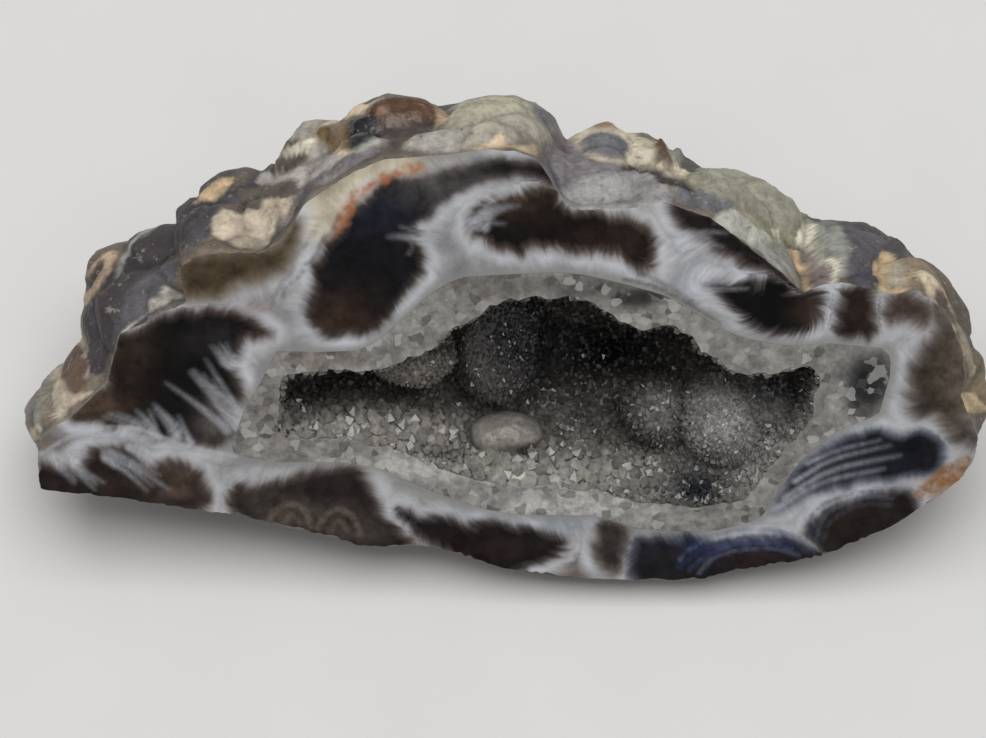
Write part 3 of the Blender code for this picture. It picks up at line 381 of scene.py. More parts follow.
# What lies on the rind, drawn in photo pixels: the colour, how far it stands out in millimetres,
# and the outline. Later ones lie over earlier ones.
CREAM = (188, 174, 154)
RIND_PATCHES = {
    "left grey": ((140, 136, 124), 0.1, [
        (48, 345), (60, 330), (78, 318), (90, 306), (84, 330), (66, 352), (50, 392), (38, 425),
        (30, 440), (34, 400)]),
    "left cream": (CREAM, 0.3, [
        (71, 329), (80, 322), (86, 340), (88, 356), (90, 372), (84, 392), (91, 389), (92, 393),
        (78, 402), (67, 411), (65, 422), (58, 422), (54, 398), (52, 376), (54, 348), (64, 346)]),
    "left brown": ((96, 74, 60), 0.25, [
        (78, 344), (85, 354), (88, 366), (86, 386), (78, 394), (70, 389), (64, 376), (66, 360), (72, 350)]),
    "bottom left cream": ((200, 186, 165), 0.2, [(29, 431), (36, 425), (42, 426), (39, 437), (33, 440)]),
    "left ledge": ((196, 172, 146), 0.25, [
        (66, 308), (74, 290), (90, 268), (104, 254), (116, 252), (112, 266), (96, 290), (84, 306),
        (70, 318)]),
    "left ledge pit": ((70, 60, 54), -0.25, [(82, 284), (98, 264), (106, 262), (98, 276), (86, 290)]),
    "long lobe": ((58, 52, 55), 0.2, [
        (210, 201), (190, 204), (163, 214), (140, 230), (124, 250), (110, 282), (90, 302), (82, 326),
        (88, 344), (90, 372), (104, 372), (110, 350), (112, 328), (124, 296), (143, 272), (178, 257),
        (181, 238), (208, 212)]),
    "long lobe edge": ((150, 148, 142), 0.1, [
        (160, 219), (138, 236), (122, 254), (112, 276), (116, 280), (128, 256), (142, 238), (164, 222)]),
    "slate dome": ((84, 82, 86), 0.35, [
        (179, 262), (160, 266), (146, 273), (128, 292), (118, 318), (115, 332), (126, 331), (143, 320),
        (158, 300), (172, 290), (176, 276)]),
    "slate crust": ((176, 170, 158), 0.15, [
        (118, 336), (128, 326), (146, 316), (152, 302), (160, 297), (166, 289), (174, 290), (184, 298),
        (160, 306), (140, 320), (120, 338)]),
    "dark slope": ((66, 64, 68), 0.0, [
        (212, 200), (236, 182), (244, 190), (226, 206), (212, 216), (208, 236), (188, 246), (180, 250),
        (184, 232)]),
    "grey brown dome": ((120, 108, 92), 0.3, [
        (211, 237), (191, 247), (181, 260), (178, 278), (184, 262), (200, 256), (230, 253), (262, 254),
        (272, 248), (256, 251), (226, 246)]),
    "cream field": (CREAM, 0.3, [
        (211, 226), (213, 217), (226, 210), (238, 214), (246, 210), (258, 207), (260, 199), (278, 199),
        (297, 198), (290, 208), (279, 218), (275, 232), (266, 244), (258, 250), (246, 248), (232, 244),
        (214, 237)]),
    "grey scab": ((92, 82, 74), 0.2, [
        (239, 190), (260, 186), (294, 181), (300, 190), (297, 194), (262, 198), (258, 206), (247, 211),
        (237, 213), (232, 208), (241, 199)]),
    "pale slope": ((168, 160, 154), 0.0, [
        (258, 182), (262, 172), (284, 172), (306, 158), (312, 150), (340, 152), (352, 154), (330, 168),
        (312, 180), (300, 190), (292, 180), (270, 184)]),
    "scab stripe 1": ((84, 74, 64), 0.2, [
        (264, 160), (284, 158), (296, 154), (307, 150), (302, 159), (286, 171), (270, 169), (262, 166)]),
    "scab stripe 2": ((92, 84, 74), 0.2, [
        (232, 174), (248, 159), (259, 158), (262, 164), (250, 178), (236, 190), (228, 188)]),
    "cream stripe": ((214, 206, 186), 0.15, [
        (272, 152), (292, 146), (308, 140), (318, 138), (308, 150), (294, 153), (280, 158)]),
    "top stripe": ((84, 72, 58), 0.15, [(268, 150), (284, 142), (300, 139), (284, 152), (276, 156)]),
    "orange ledge": ((198, 172, 138), 0.2, [
        (192, 200), (206, 188), (214, 180), (226, 176), (234, 178), (224, 190), (212, 199), (198, 202)]),
    "cream ledge": ((214, 196, 166), 0.2, [
        (316, 135), (322, 126), (340, 114), (358, 106), (382, 98), (386, 101), (370, 112), (350, 118),
        (336, 124), (324, 130), (318, 138), (340, 148), (352, 152), (346, 155), (326, 148)]),
    "glossy olive": ((112, 90, 60), 0.5, [
        (318, 130), (326, 126), (342, 124), (352, 130), (350, 148), (344, 151), (330, 147), (317, 139)]),
    "glossy black": ((34, 32, 36), 0.6, [
        (350, 130), (348, 124), (364, 117), (370, 112), (378, 118), (380, 132), (372, 140), (360, 147),
        (349, 150)]),
    "glossy brown": ((88, 62, 46), 0.7, [
        (366, 112), (376, 103), (392, 98), (410, 98), (424, 101), (434, 108), (440, 117), (436, 123),
        (414, 123), (398, 127), (384, 132), (378, 120), (372, 118)]),
    "glossy chip": ((138, 110, 88), 0.75, [(376, 117), (382, 113), (390, 116), (388, 122), (379, 123)]),
    "grey band": ((112, 106, 108), 0.0, [
        (352, 154), (372, 146), (384, 140), (376, 152), (352, 166), (326, 178), (312, 190), (300, 206),
        (296, 200), (308, 184), (330, 168)]),
    "arc 1": ((164, 160, 140), 0.5, [
        (462, 104), (479, 98), (497, 96), (515, 98), (534, 103), (546, 112), (556, 122), (560, 134),
        (540, 120), (516, 113), (497, 114), (479, 121), (464, 128), (444, 126), (452, 112)]),
    "arc 1 shade": ((112, 110, 112), 0.55, [
        (528, 104), (544, 110), (556, 122), (560, 134), (548, 126), (536, 116)]),
    "arc 2": ((160, 154, 140), 0.45, [
        (480, 123), (500, 116), (516, 115), (532, 119), (546, 128), (552, 138), (544, 146), (536, 151),
        (520, 148), (498, 146), (480, 147), (462, 148), (466, 138), (472, 130)]),
    "arc cream": ((214, 190, 158), 0.5, [
        (470, 148), (488, 145), (496, 138), (504, 137), (506, 145), (522, 147), (538, 147), (544, 143),
        (542, 151), (534, 154), (514, 149), (490, 149), (472, 151)]),
    "arc cream 2": ((206, 180, 146), 0.4, [(438, 110), (446, 112), (447, 122), (440, 124), (436, 118)]),
    "black pit": ((34, 30, 30), -0.4, [
        (548, 112), (556, 110), (566, 112), (572, 117), (569, 121), (560, 121), (551, 118)]),
    "cream top": ((192, 182, 160), 0.15, [
        (560, 124), (570, 120), (574, 114), (592, 112), (614, 124), (636, 134), (656, 144), (654, 156),
        (646, 166), (628, 164), (608, 162), (594, 162), (584, 154), (576, 140), (564, 134)]),
    "tan lump": ((156, 134, 108), 0.5, [
        (589, 119), (597, 113), (606, 116), (614, 123), (614, 131), (604, 131), (592, 127)]),
    "slate lump": ((104, 104, 110), 0.5, [
        (580, 142), (590, 137), (604, 136), (620, 141), (628, 151), (622, 160), (606, 158), (594, 155),
        (583, 150)]),
    "mauve field": ((120, 115, 117), 0.1, [
        (546, 144), (556, 138), (572, 142), (586, 156), (604, 164), (620, 168), (600, 178), (570, 186),
        (556, 190), (544, 172), (540, 156)]),
    "pale mauve": ((146, 143, 143), 0.1, [
        (556, 196), (568, 184), (592, 176), (624, 170), (650, 172), (668, 186), (670, 208), (644, 218),
        (600, 216), (570, 212)]),
    "brown lump": ((88, 68, 50), 0.8, [
        (654, 144), (661, 141), (667, 150), (670, 166), (661, 167), (655, 156)]),
    "grey bump": ((152, 148, 138), 0.9, [
        (670, 153), (677, 149), (682, 156), (683, 165), (674, 168), (669, 160)]),
    "cream knob": ((214, 200, 176), 0.5, [
        (656, 164), (668, 168), (684, 170), (688, 174), (684, 178), (672, 175), (660, 170)]),
    "dark cleft": ((58, 52, 48), -0.3, [
        (622, 164), (644, 168), (666, 174), (690, 184), (700, 192), (690, 192), (668, 182), (644, 173),
        (624, 168)]),
    "grey cleft": ((104, 104, 108), 0.0, [
        (676, 192), (700, 188), (722, 196), (734, 206), (716, 212), (700, 206), (684, 202)]),
    "olive lobe": ((150, 147, 131), 0.6, [
        (700, 178), (708, 170), (730, 169), (756, 177), (772, 187), (786, 197), (798, 202), (806, 212),
        (810, 220), (800, 230), (786, 230), (772, 228), (758, 216), (736, 204), (720, 196), (702, 188)]),
    "pearl slope": ((176, 176, 166), 0.2, [
        (716, 216), (734, 210), (752, 222), (768, 236), (784, 246), (794, 264), (800, 286), (790, 276),
        (772, 262), (748, 244), (726, 230)]),
    "mauve slope": ((124, 114, 110), 0.1, [
        (798, 252), (812, 252), (824, 262), (832, 272), (834, 286), (812, 290), (808, 276), (802, 264)]),
    "pale slope 2": ((142, 143, 134), 0.2, [
        (814, 222), (834, 221), (844, 232), (846, 250), (844, 270), (838, 276), (832, 262), (820, 254),
        (815, 240)]),
    "cream chip": ((220, 214, 194), 0.3, [
        (805, 222), (815, 221), (815, 236), (815, 250), (804, 249), (795, 240), (799, 230)]),
    "cream vein": ((220, 214, 192), 0.3, [
        (814, 248), (822, 258), (832, 260), (838, 268), (837, 284), (832, 282), (830, 270), (824, 264),
        (815, 256)]),
    "tan vein": ((212, 184, 148), 0.35, [
        (787, 251), (797, 251), (801, 262), (807, 268), (806, 280), (810, 288), (804, 291), (800, 276),
        (794, 262)]),
    "short vein": ((216, 208, 184), 0.3, [
        (771, 230), (776, 230), (780, 238), (785, 245), (780, 245), (774, 237)]),
    "slate corner": ((76, 73, 80), 0.5, [
        (842, 226), (852, 223), (866, 224), (880, 234), (887, 244), (883, 252), (876, 260), (872, 270),
        (878, 286), (866, 288), (852, 284), (846, 270), (850, 248)]),
    "tan field": ((190, 166, 132), 0.2, [
        (883, 251), (892, 256), (908, 268), (912, 272), (906, 286), (910, 291), (896, 296), (884, 300),
        (878, 288), (872, 266), (876, 258)]),
    "tan field grey": ((166, 156, 138), 0.25, [(894, 262), (906, 270), (904, 284), (894, 290), (888, 276)]),
    "edge stripe": ((188, 174, 150), 0.25, [
        (914, 270), (934, 278), (946, 294), (956, 316), (966, 340), (977, 368), (972, 376), (963, 358),
        (960, 336), (952, 330), (938, 318), (930, 302), (924, 284)]),
    "edge shade": ((92, 80, 70), 0.1, [(934, 290), (944, 298), (954, 322), (948, 322), (938, 308)]),
    "right knob": ((194, 172, 136), 0.4, [
        (956, 396), (966, 392), (978, 398), (986, 410), (976, 414), (966, 410)]),
}
PATCH_MARGIN = 8
HIDDEN_COLOURS = [
    (98, 88, 84), (122, 112, 102), (84, 76, 78), (142, 134, 120), (108, 95, 82), (132, 124, 118),
]
# Where patches fade on parts of the rind that turn away from the camera
LOOKS_BACK = 0.1
PATCH_WOBBLE = 1.6
PATCH_SOFTNESS = 0.16
GLOSSY = ("glossy olive", "glossy black", "glossy brown", "glossy chip")
EDGE_SHADE = 0.22
CREASE_WIDTH = 0.45
CREASE_DEPTH = 0.25
CREASE_SHADE = 0.38
# The rind's relief: each entry is a height, a size and a seed
RIND_BUMPS = ((0.13, 2.4, 20), (0.07, 0.9, 24))
RIND_TERRACES = (0.1, 4.5, 28)
PIT_DEPTH = 0.28
PIT_RANGE = (0.45, 0.85)
# Chips along the rim, which are larger along its lower edge
CHIPS = (0.22, 1.1, 40)
LOWER_EDGE = -8
CHIP_SHARES = (1.6, 0.6)
# Relief and patches set in between these depths below the face
RIM_FADE = (0.15, 1.6)

# The crust and its crystals
CRUST_GAP = 0.02
QUARTZ_IOR = 1.54
DRUSE_BUMPS = ((0.3, 3.0, 50), (0.15, 1.2, 54))
SCALLOP_DEPTH = 0.5
SAWN_BASE = (150, 147, 142)
SAWN_SPOTS = [
    ((36.0, -1.5), (2.5, 3.5), (34, 34, 38)),
    ((13.5, 7.7), (2.8, 1.1), (60, 58, 58)),
    ((9.0, -15.2), (9.0, 1.6), (184, 183, 178)),
    ((-8.0, -11.0), (9.0, 1.8), (178, 176, 170)),
    ((-22.0, -5.0), (2.6, 5.0), (140, 136, 132)),
    ((-16.0, 1.2), (5.0, 1.0), (136, 128, 120)),
    ((0.0, 9.0), (4.6, 1.4), (122, 117, 111)),
    ((8.6, 9.0), (4.0, 1.6), (108, 104, 101)),
    ((26.0, 1.4), (4.0, 1.2), (148, 146, 142)),
]
DRUSE_BASE = (138, 133, 127)
# Colours of crystals and painted shade and light, as the photo places them on the face's plane: middle,
# reach, colour
DRUSE_SPOTS_LIGHT_AND_SHADE = [
    # Painted shade: the deep upper part of the hollow, drawn black
    ((11.0, 2.0), (8.0, 5.6), (16, 16, 18)),
    ((2.0, 3.0), (4.4, 5.6), (60, 58, 62)),
    ((-8.0, 0.4), (4.4, 2.6), (134, 127, 118)),
    ((-17.0, -3.0), (5.0, 2.4), (120, 115, 108)),
    # Painted light: the floor of the hollow, which faces the lamp, drawn bright
    ((-13.0, -6.6), (10.0, 2.6), (180, 176, 168)),
    ((4.0, -11.5), (10.0, 2.8), (196, 193, 185)),
    ((2.6, -7.6), (3.2, 2.4), (142, 137, 128)),
    # Painted shade in the knob's notch
    ((2.8, -9.0), (1.7, 0.6), (50, 46, 45)),
    ((12.0, -5.0), (5.0, 3.0), (112, 108, 104)),
    ((23.0, -6.0), (4.8, 4.6), (196, 194, 192)),
    ((17.0, -4.6), (2.6, 2.4), (150, 148, 146)),
    # Painted shade in a deeper pit
    ((20.0, -13.4), (3.0, 2.6), (50, 53, 60)),
    ((27.5, -2.5), (3.6, 2.6), (70, 68, 70)),
    # Painted light on the bright cluster at the right
    ((26.0, -12.0), (2.4, 2.4), (176, 173, 168)),
]
# Where the crystals are larger or smaller than elsewhere: middle, reach and radius
DRUSE_SIZES = [
    ((-13.0, -6.6), (11.0, 3.0), 0.7),
    ((5.0, -11.5), (10.0, 3.2), 0.74),
    ((0.5, 2.5), (4.4, 5.6), 0.26),
    ((-8.0, 0.4), (4.4, 2.6), 0.27),
    ((23.0, -6.0), (4.6, 4.4), 0.28),
    ((11.0, 3.0), (6.0, 5.0), 0.36),
]
CRYSTAL_RADIUS = 0.42
CRYSTAL_SPREAD = (0.72, 1.28)
CRYSTAL_SEED = 3
CRYSTAL_TRIES = 60000
CRYSTAL_CLOSENESS = 0.56
CRYSTAL_TILT = 0.28
CRYSTAL_TONES = (0.72, 1.3)
CRYSTAL_SIDES = 6
# The shape of a crystal, in shares of its radius: the height of its sides, how narrow it is one way,
# how uneven its corners are, how far every other corner steps up, the tip, its lean and the foot
CRYSTAL_HEIGHTS = (0.15, 0.6)
CRYSTAL_NARROWING = (0.75, 1.0)
CRYSTAL_CORNERS = (0.85, 1.12)
CRYSTAL_STEPS = (-0.1, 0.16)
CRYSTAL_TIPS = (0.6, 1.0)
CRYSTAL_LEAN = 0.14
CRYSTAL_FOOT = 0.9
# Crystals stay this far under the sawn face, and their tips this far
CRYSTAL_FOOT_DEPTH = 0.1
CRYSTAL_TIP_DEPTH = 0.01
# How far the knob's smooth skin and the bare place round it stand out from the knob
KNOB_SKIN = 0.3
KNOB_BARE = 0.8
KNOB_DENTS = 0.07
# The crystals grow towards the side that this place lies on
HOLLOW_MIDDLE = np.array((6.0, -4.0, -4.0))

# Colours that the materials add
DUST = (168, 160, 146)
DIRT = (58, 50, 46)
GLOW = (222, 224, 230)
STRAND_WHITE = (214, 216, 224)
HOLLOW_RIM = (146, 145, 143)
GRAIN_GLINT = (206, 204, 200)
GRAIN_CLOUD = (168, 164, 158)
AGATE_IOR = 1.5

# The floor and the light: a lamp is its name, place, target, size and power
FLOOR_HALF_WIDTH = 4.0
FLOOR_COLOURS = ((212, 211, 209), (218, 217, 215))
SKY_COLOUR = (1.0, 1.0, 1.0)
SKY_HEIGHTS = (-0.05, 0.9)
SKY_STRENGTHS = (0.08, 0.47)
LAMPS = [
    ("top_lamp", (0.0, 0.06, 0.76), (0, 0, 0.02), (0.75, 0.6), 4.7),
]


def to_linear(colour):
    """An 8-bit display colour as the linear colour that a shader takes."""
    share = np.asarray(colour, float) / 255
    return np.where(share <= 0.04045, share / 12.92, ((share + 0.055) / 1.055) ** 2.4)


def lattice_noise(points, size, seed):
    """Smooth noise from 0 to 1, with bumps of about the given size."""
    cells = 32
    lattice = np.random.default_rng(seed).random((cells, cells, cells))
    place = points / size
    low = np.floor(place).astype(int)
    part = place - low
    part = part * part * (3 - 2 * part)
    total = 0.0
    for corner in range(8):
        step = np.array([corner & 1, corner >> 1 & 1, corner >> 2 & 1])
        weight = np.where(step, part, 1 - part).prod(axis=1)
        cell = (low + step) % cells
        total = total + weight * lattice[cell[:, 0], cell[:, 1], cell[:, 2]]
    return total


def fractal(points, size, seed, octaves=3):
    """Noise from about -1 to 1 with ever smaller bumps on it."""
    total, share, reach = 0.0, 1.0, 0.0
    for octave in range(octaves):
        total = total + share * (lattice_noise(points, size / 2**octave, seed + octave) * 2 - 1)
        reach += share
        share /= 2
    return total / reach * 1.6


def bumps(points, *layers):
    """Layers of noise, each of which is a height, a size and a seed."""
    return sum(height * fractal(points, size, seed) for height, size, seed in layers)


def smooth_step(value, low, high):
    share = np.clip((value - low) / (high - low), 0, 1)
    return share * share * (3 - 2 * share)


def blend(first, second, share):
    return first * (1 - share) + second * share


def noise_columns(points, size, seeds):
    """Noise with one column for each seed."""
    return np.stack([fractal(points, size, seed) for seed in seeds], axis=1)


def flat_colour(colour, count):
    return np.tile(to_linear(colour), (count, 1))


def with_depth(flat):
    """2-D points of the sawn face as local points."""
    return np.concatenate([flat, np.zeros((len(flat), 1))], axis=1)


def outline_reach(points, origins, headings):
    """How far each heading runs from its own origin inside a closed outline."""
    starts = np.array(points)
    sides = np.roll(starts, -1, axis=0) - starts
    to_starts = starts[None] - origins[:, None, :2]
    turn = headings[:, None, 0] * sides[None, :, 1] - headings[:, None, 1] * sides[None, :, 0]
    turn = np.where(np.abs(turn) < TINY, TINY, turn)
    reach = (to_starts[..., 0] * sides[None, :, 1] - to_starts[..., 1] * sides[None, :, 0]) / turn
    on_side = to_starts[..., 0] * headings[:, None, 1] - to_starts[..., 1] * headings[:, None, 0]
    on_side = on_side / turn
    meets = (on_side >= 0) & (on_side <= 1) & (reach > 0)
    return np.where(meets, reach, np.inf).min(axis=1)


def spine_rays(directions, centre, half_sizes):
    """Rays through an evenly covered ellipsoid, which start along a spine instead of one point."""
    origins = np.zeros_like(directions)
    origins[:, 0] = centre[0] + directions[:, 0] * half_sizes[0] * SPINE_SHARE
    origins[:, 1] = centre[1]
    rays = directions * ((1 - SPINE_SHARE) * half_sizes[0], half_sizes[1], half_sizes[2])
    return origins, rays / np.linalg.norm(rays, axis=1)[:, None]


def section_length(origins, rays, outline, depth, power):
    """The length of each ray inside a body with the outline at z = 0 and a round back."""
    along_face = np.maximum(np.hypot(rays[:, 0], rays[:, 1]), TINY)
    headings = rays[:, :2] / along_face[:, None]
    reach = outline_reach(outline, origins, headings)
    return ((along_face / reach) ** power + (np.abs(rays[:, 2]) / depth) ** power) ** (-1 / power)


def inside_share(points, middle, reach, turn=0.0):
    """1 in the middle of an ellipsoid, falling to 0 at its surface and beyond."""
    offset = points - np.array(middle)
    along = offset[:, 0] * math.cos(turn) + offset[:, 1] * math.sin(turn)
    across = offset[:, 1] * math.cos(turn) - offset[:, 0] * math.sin(turn)
    squares = (along / reach[0]) ** 2 + (across / reach[1]) ** 2 + (offset[:, 2] / reach[2]) ** 2
    return np.clip(1 - squares, 0, 1)


def below_rim(points):
    return np.clip(-points[:, 2] / RIM_DEPTH, 0, 1)


def smooth_stone(directions):
    """The nodule before its lobes: the origin, the ray and the length for each direction."""
    origins, rays = spine_rays(directions, STONE_CENTRE, STONE_HALF_SIZES)
    angle = np.degrees(np.arctan2(rays[:, 1], rays[:, 0]))
    power = np.interp(angle, list(SECTION_POWER), list(SECTION_POWER.values()), period=360)
    length = section_length(origins, rays, FACE_TOP + FACE_BOTTOM, STONE_HALF_SIZES[2], power)
    for middle, reach, rise in SWELLINGS:
        points = origins + rays * length[:, None]
        share = inside_share(points, middle, reach) ** SWELLING_SOFTNESS
        length = length + rise * share * below_rim(points)
    return origins, rays, length


def hidden_lobes():
    """Seeded lobes over the back and the underside, where the face's side doesn't show them."""
    rng = np.random.default_rng(HIDDEN_LOBE_SEED)
    directions = rng.normal(size=(HIDDEN_TRIES, 3))
    directions[:, 2] = -np.abs(directions[:, 2]) - HIDDEN_LEAST_DEPTH
    directions /= np.linalg.norm(directions, axis=1)[:, None]
    is_hidden = (directions[:, 1] < HIDDEN_MOST_UP) | (directions[:, 2] < -HIDDEN_BACK)
    hidden = directions[is_hidden][:HIDDEN_LOBES]
    origins, rays, length = smooth_stone(hidden)
    for index, middle in enumerate(origins + rays * length[:, None]):
        along = rng.uniform(*HIDDEN_LOBE_REACH)
        deep = along * rng.uniform(HIDDEN_LOBE_SLIMMEST, 1.0)
        turn = rng.uniform(0, 180)
        rise = rng.uniform(*HIDDEN_LOBE_RISE)
        yield middle, along, deep, turn, rise, HIDDEN_COLOURS[index % len(HIDDEN_COLOURS)]


def entry_length(origins, rays, middle, reach):
    """How far along each ray an ellipsoid begins, or infinity where the ray misses it."""
    scaled_rays = rays / reach
    scaled_middles = (np.array(middle) - origins) / reach
    towards = (scaled_rays * scaled_middles).sum(axis=1)
    ray_square = (scaled_rays**2).sum(axis=1)
    left = towards**2 - ray_square * ((scaled_middles**2).sum(axis=1) - 1)
    meets = (left > 0) & (towards > 0)
    return np.where(meets, (towards - np.sqrt(np.maximum(left, 0))) / ray_square, np.inf)


def between(before, here, after, later, share):
    """A place between two points of a smooth curve."""
    return 0.5 * (
        2 * here + (after - before) * share + (2 * before - 5 * here + 4 * after - later) * share**2
        + (3 * here - before - 3 * after + later) * share**3)


def smooth_loop(points, steps=4):
    """A closed curve through the points."""
    here = np.array(points, float)
    before, after, later = (np.roll(here, shift, axis=0) for shift in (1, -1, -2))
    parts = [between(before, here, after, later, share) for share in np.arange(steps) / steps]
    return np.stack(parts, axis=1).reshape(-1, 2)


def smooth_chain(points, steps=4):
    """An open curve through the points."""
    points = np.array(points, float)
    chain = np.array([2 * points[0] - points[1], *points, 2 * points[-1] - points[-2]])
    parts = []
    for start in range(len(chain) - 3):
        parts += [between(*chain[start:start + 4], share) for share in np.arange(steps) / steps]
    return np.array([*parts, chain[-2]])


def chain_field(points, chain, closed):
    """How far 2-D points are from a chain of points, and how far along it their nearest place lies."""
    starts = chain if closed else chain[:-1]
    sides = (np.roll(chain, -1, axis=0) if closed else chain[1:]) - starts
    lengths = np.maximum(np.linalg.norm(sides, axis=1), TINY)
    begins = np.concatenate([[0], np.cumsum(lengths)[:-1]])
    offset = points[:, None] - starts[None]
    share = np.clip((offset * sides[None]).sum(axis=2) / lengths**2, 0, 1)
    gap = np.linalg.norm(offset - share[..., None] * sides[None], axis=2)
    nearest = gap.argmin(axis=1)
    rows = np.arange(len(points))
    return gap[rows, nearest], begins[nearest] + share[rows, nearest] * lengths[nearest]


def is_inside(points, loop):
    after = np.roll(loop, -1, axis=0)
    x, y = points[:, 0, None], points[:, 1, None]
    spans = (loop[None, :, 1] > y) != (after[None, :, 1] > y)
    rise = np.where(np.abs(after[:, 1] - loop[:, 1]) < TINY, TINY, after[:, 1] - loop[:, 1])
    cross = loop[None, :, 0] + (y - loop[None, :, 1]) * (after[:, 0] - loop[:, 0]) / rise
    return (spans & (x < cross)).sum(axis=1) % 2 == 1


def loop_field(points, loop):
    """The distance to a loop, above 0 inside it, and the place along it."""
    gap, along = chain_field(points, loop, True)
    return np.where(is_inside(points, loop), gap, -gap), along


def near(points, loop, margin):
    low, high = loop.min(axis=0) - margin, loop.max(axis=0) + margin
    return ((points > low) & (points < high)).all(axis=1)


def half_sphere(cuts):
    """The directions and triangles of the lower half of an even sphere, and its rim in order."""
    bm = bmesh.new()
    bmesh.ops.create_icosphere(bm, subdivisions=2, radius=1.0)
    bmesh.ops.subdivide_edges(bm, edges=bm.edges[:], cuts=cuts, use_grid_fill=True)
    everything = bm.verts[:] + bm.edges[:] + bm.faces[:]
    bmesh.ops.bisect_plane(
        bm, geom=everything, dist=1e-4, plane_co=(0, 0, 0), plane_no=(0, 0, 1), clear_outer=True
    )
    bmesh.ops.triangulate(bm, faces=bm.faces[:])
    bm.verts.index_update()
    directions = np.array([vertex.co for vertex in bm.verts])
    rim = {vertex.index for edge in bm.edges if edge.is_boundary for vertex in edge.verts}
    triangles = np.array([[vertex.index for vertex in face.verts] for face in bm.faces])
    bm.free()
    rim = np.array(sorted(rim))
    directions[rim, 2] = 0
    directions /= np.linalg.norm(directions, axis=1)[:, None]
    turn = np.arctan2(directions[rim, 1], directions[rim, 0])
    return directions, triangles, rim[np.argsort(turn)]


def flat_ring(outer, inner, step, seed):
    """A flat mesh between two loops: the points, of which the loops come first, and the triangles."""
    rng = np.random.default_rng(seed)
    low, high = outer.min(axis=0), outer.max(axis=0)
    rows = np.arange(low[1], high[1], step * math.sqrt(3) / 2)
    columns = np.arange(low[0], high[0], step)
    grid = np.array([(x + step / 2 * (row % 2), y) for row, y in enumerate(rows) for x in columns])
    grid = grid + rng.uniform(-GRID_SHIFT, GRID_SHIFT, grid.shape) * step
    grid = grid[is_inside(grid, outer) & ~is_inside(grid, inner)]
    gap = np.minimum(chain_field(grid, outer, True)[0], chain_field(grid, inner, True)[0])
    points = np.concatenate([outer, inner, grid[gap > step * GRID_CLEARANCE]])
    edges = []
    for start, count in ((0, len(outer)), (len(outer), len(inner))):
        edges += [(start + i, start + (i + 1) % count) for i in range(count)]
    found = delaunay_2d_cdt([Vector(p) for p in points], edges, [], 0, 1e-7)
    made, triangles = np.array([tuple(p) for p in found[0]]), np.array(found[2])
    middles = made[triangles].mean(axis=1)
    return made, triangles[is_inside(middles, outer) & ~is_inside(middles, inner)]


def close_body(outside, inside, step, seed):
    """Two half bodies joined by a flat ring at z = 0: the points, the faces and how many of each kind.

    Each half is its points, its triangles and its rim, and the second one is the hollow of the first.
    """
    (points, triangles, rim), (inner_points, inner_triangles, inner_rim) = outside, inside
    flat, flat_triangles = flat_ring(points[rim, :2], inner_points[inner_rim, :2], step, seed)
    rim_count = len(rim) + len(inner_rim)
    start = len(points) + len(inner_points)
    fresh = np.arange(start, start + len(flat) - rim_count)
    index = np.concatenate([rim, inner_rim + len(points), fresh])
    whole = np.concatenate([points, inner_points, with_depth(flat[rim_count:])])
    kinds = [triangles, inner_triangles[:, ::-1] + len(points), index[flat_triangles]]
    return whole, np.concatenate(kinds), [len(kind) for kind in kinds]


def to_world(points):
    """Local millimetres as metres in the frame of the solid model."""
    x, y, z = points.T
    sine, cosine = math.sin(FACE_TILT), math.cos(FACE_TILT)
    world = np.stack([x, y * sine - z * cosine, y * cosine + z * sine], axis=1) * MM
    return world + np.array(FACE_CENTRE)


def photo_place(points):
    """The photo pixel at which each local point is seen."""
    x, y, z = points.T
    sine, cosine = math.sin(CAMERA_ABOVE_FACE_NORMAL), math.cos(CAMERA_ABOVE_FACE_NORMAL)
    up = y * cosine - z * sine
    away = CAMERA_DISTANCE / MM - y * sine - z * cosine
    return np.stack([
        PHOTO_SIZE[0] / 2 + FOCAL_PIXELS * x / away,
        PHOTO_SIZE[1] / 2 - FOCAL_PIXELS * up / away,
    ], axis=1)


def face_place(seen):
    """Where on the sawn face's plane each photo pixel lies."""
    slope = (PHOTO_SIZE[1] / 2 - seen[:, 1]) / FOCAL_PIXELS
    sine, cosine = math.sin(CAMERA_ABOVE_FACE_NORMAL), math.cos(CAMERA_ABOVE_FACE_NORMAL)
    up = CAMERA_DISTANCE / MM * slope / (cosine + slope * sine)
    away = CAMERA_DISTANCE / MM - up * sine
    return np.stack([(seen[:, 0] - PHOTO_SIZE[0] / 2) / FOCAL_PIXELS * away, up], axis=1)


def apparent_place(points):
    """Where on the sawn face's plane the photo shows each local point."""
    return face_place(photo_place(points))


def vertex_normals(points, triangles):
    corners = points[triangles]
    normals = np.cross(corners[:, 1] - corners[:, 0], corners[:, 2] - corners[:, 0])
    total = np.zeros_like(points)
    for corner in range(3):
        np.add.at(total, triangles[:, corner], normals)
    return total / np.maximum(np.linalg.norm(total, axis=1), TINY)[:, None]


def link(name, data):
    thing = bpy.data.objects.new(name, data)
    bpy.context.scene.collection.objects.link(thing)
    return thing


def outward(points, triangles):
    """The triangles turned so that the closed body's inside lies behind them."""
    corners = points[triangles]
    volume = np.einsum("ij,ij->i", corners[:, 0], np.cross(corners[:, 1], corners[:, 2])).sum()
    return triangles if volume > 0 else triangles[:, ::-1]


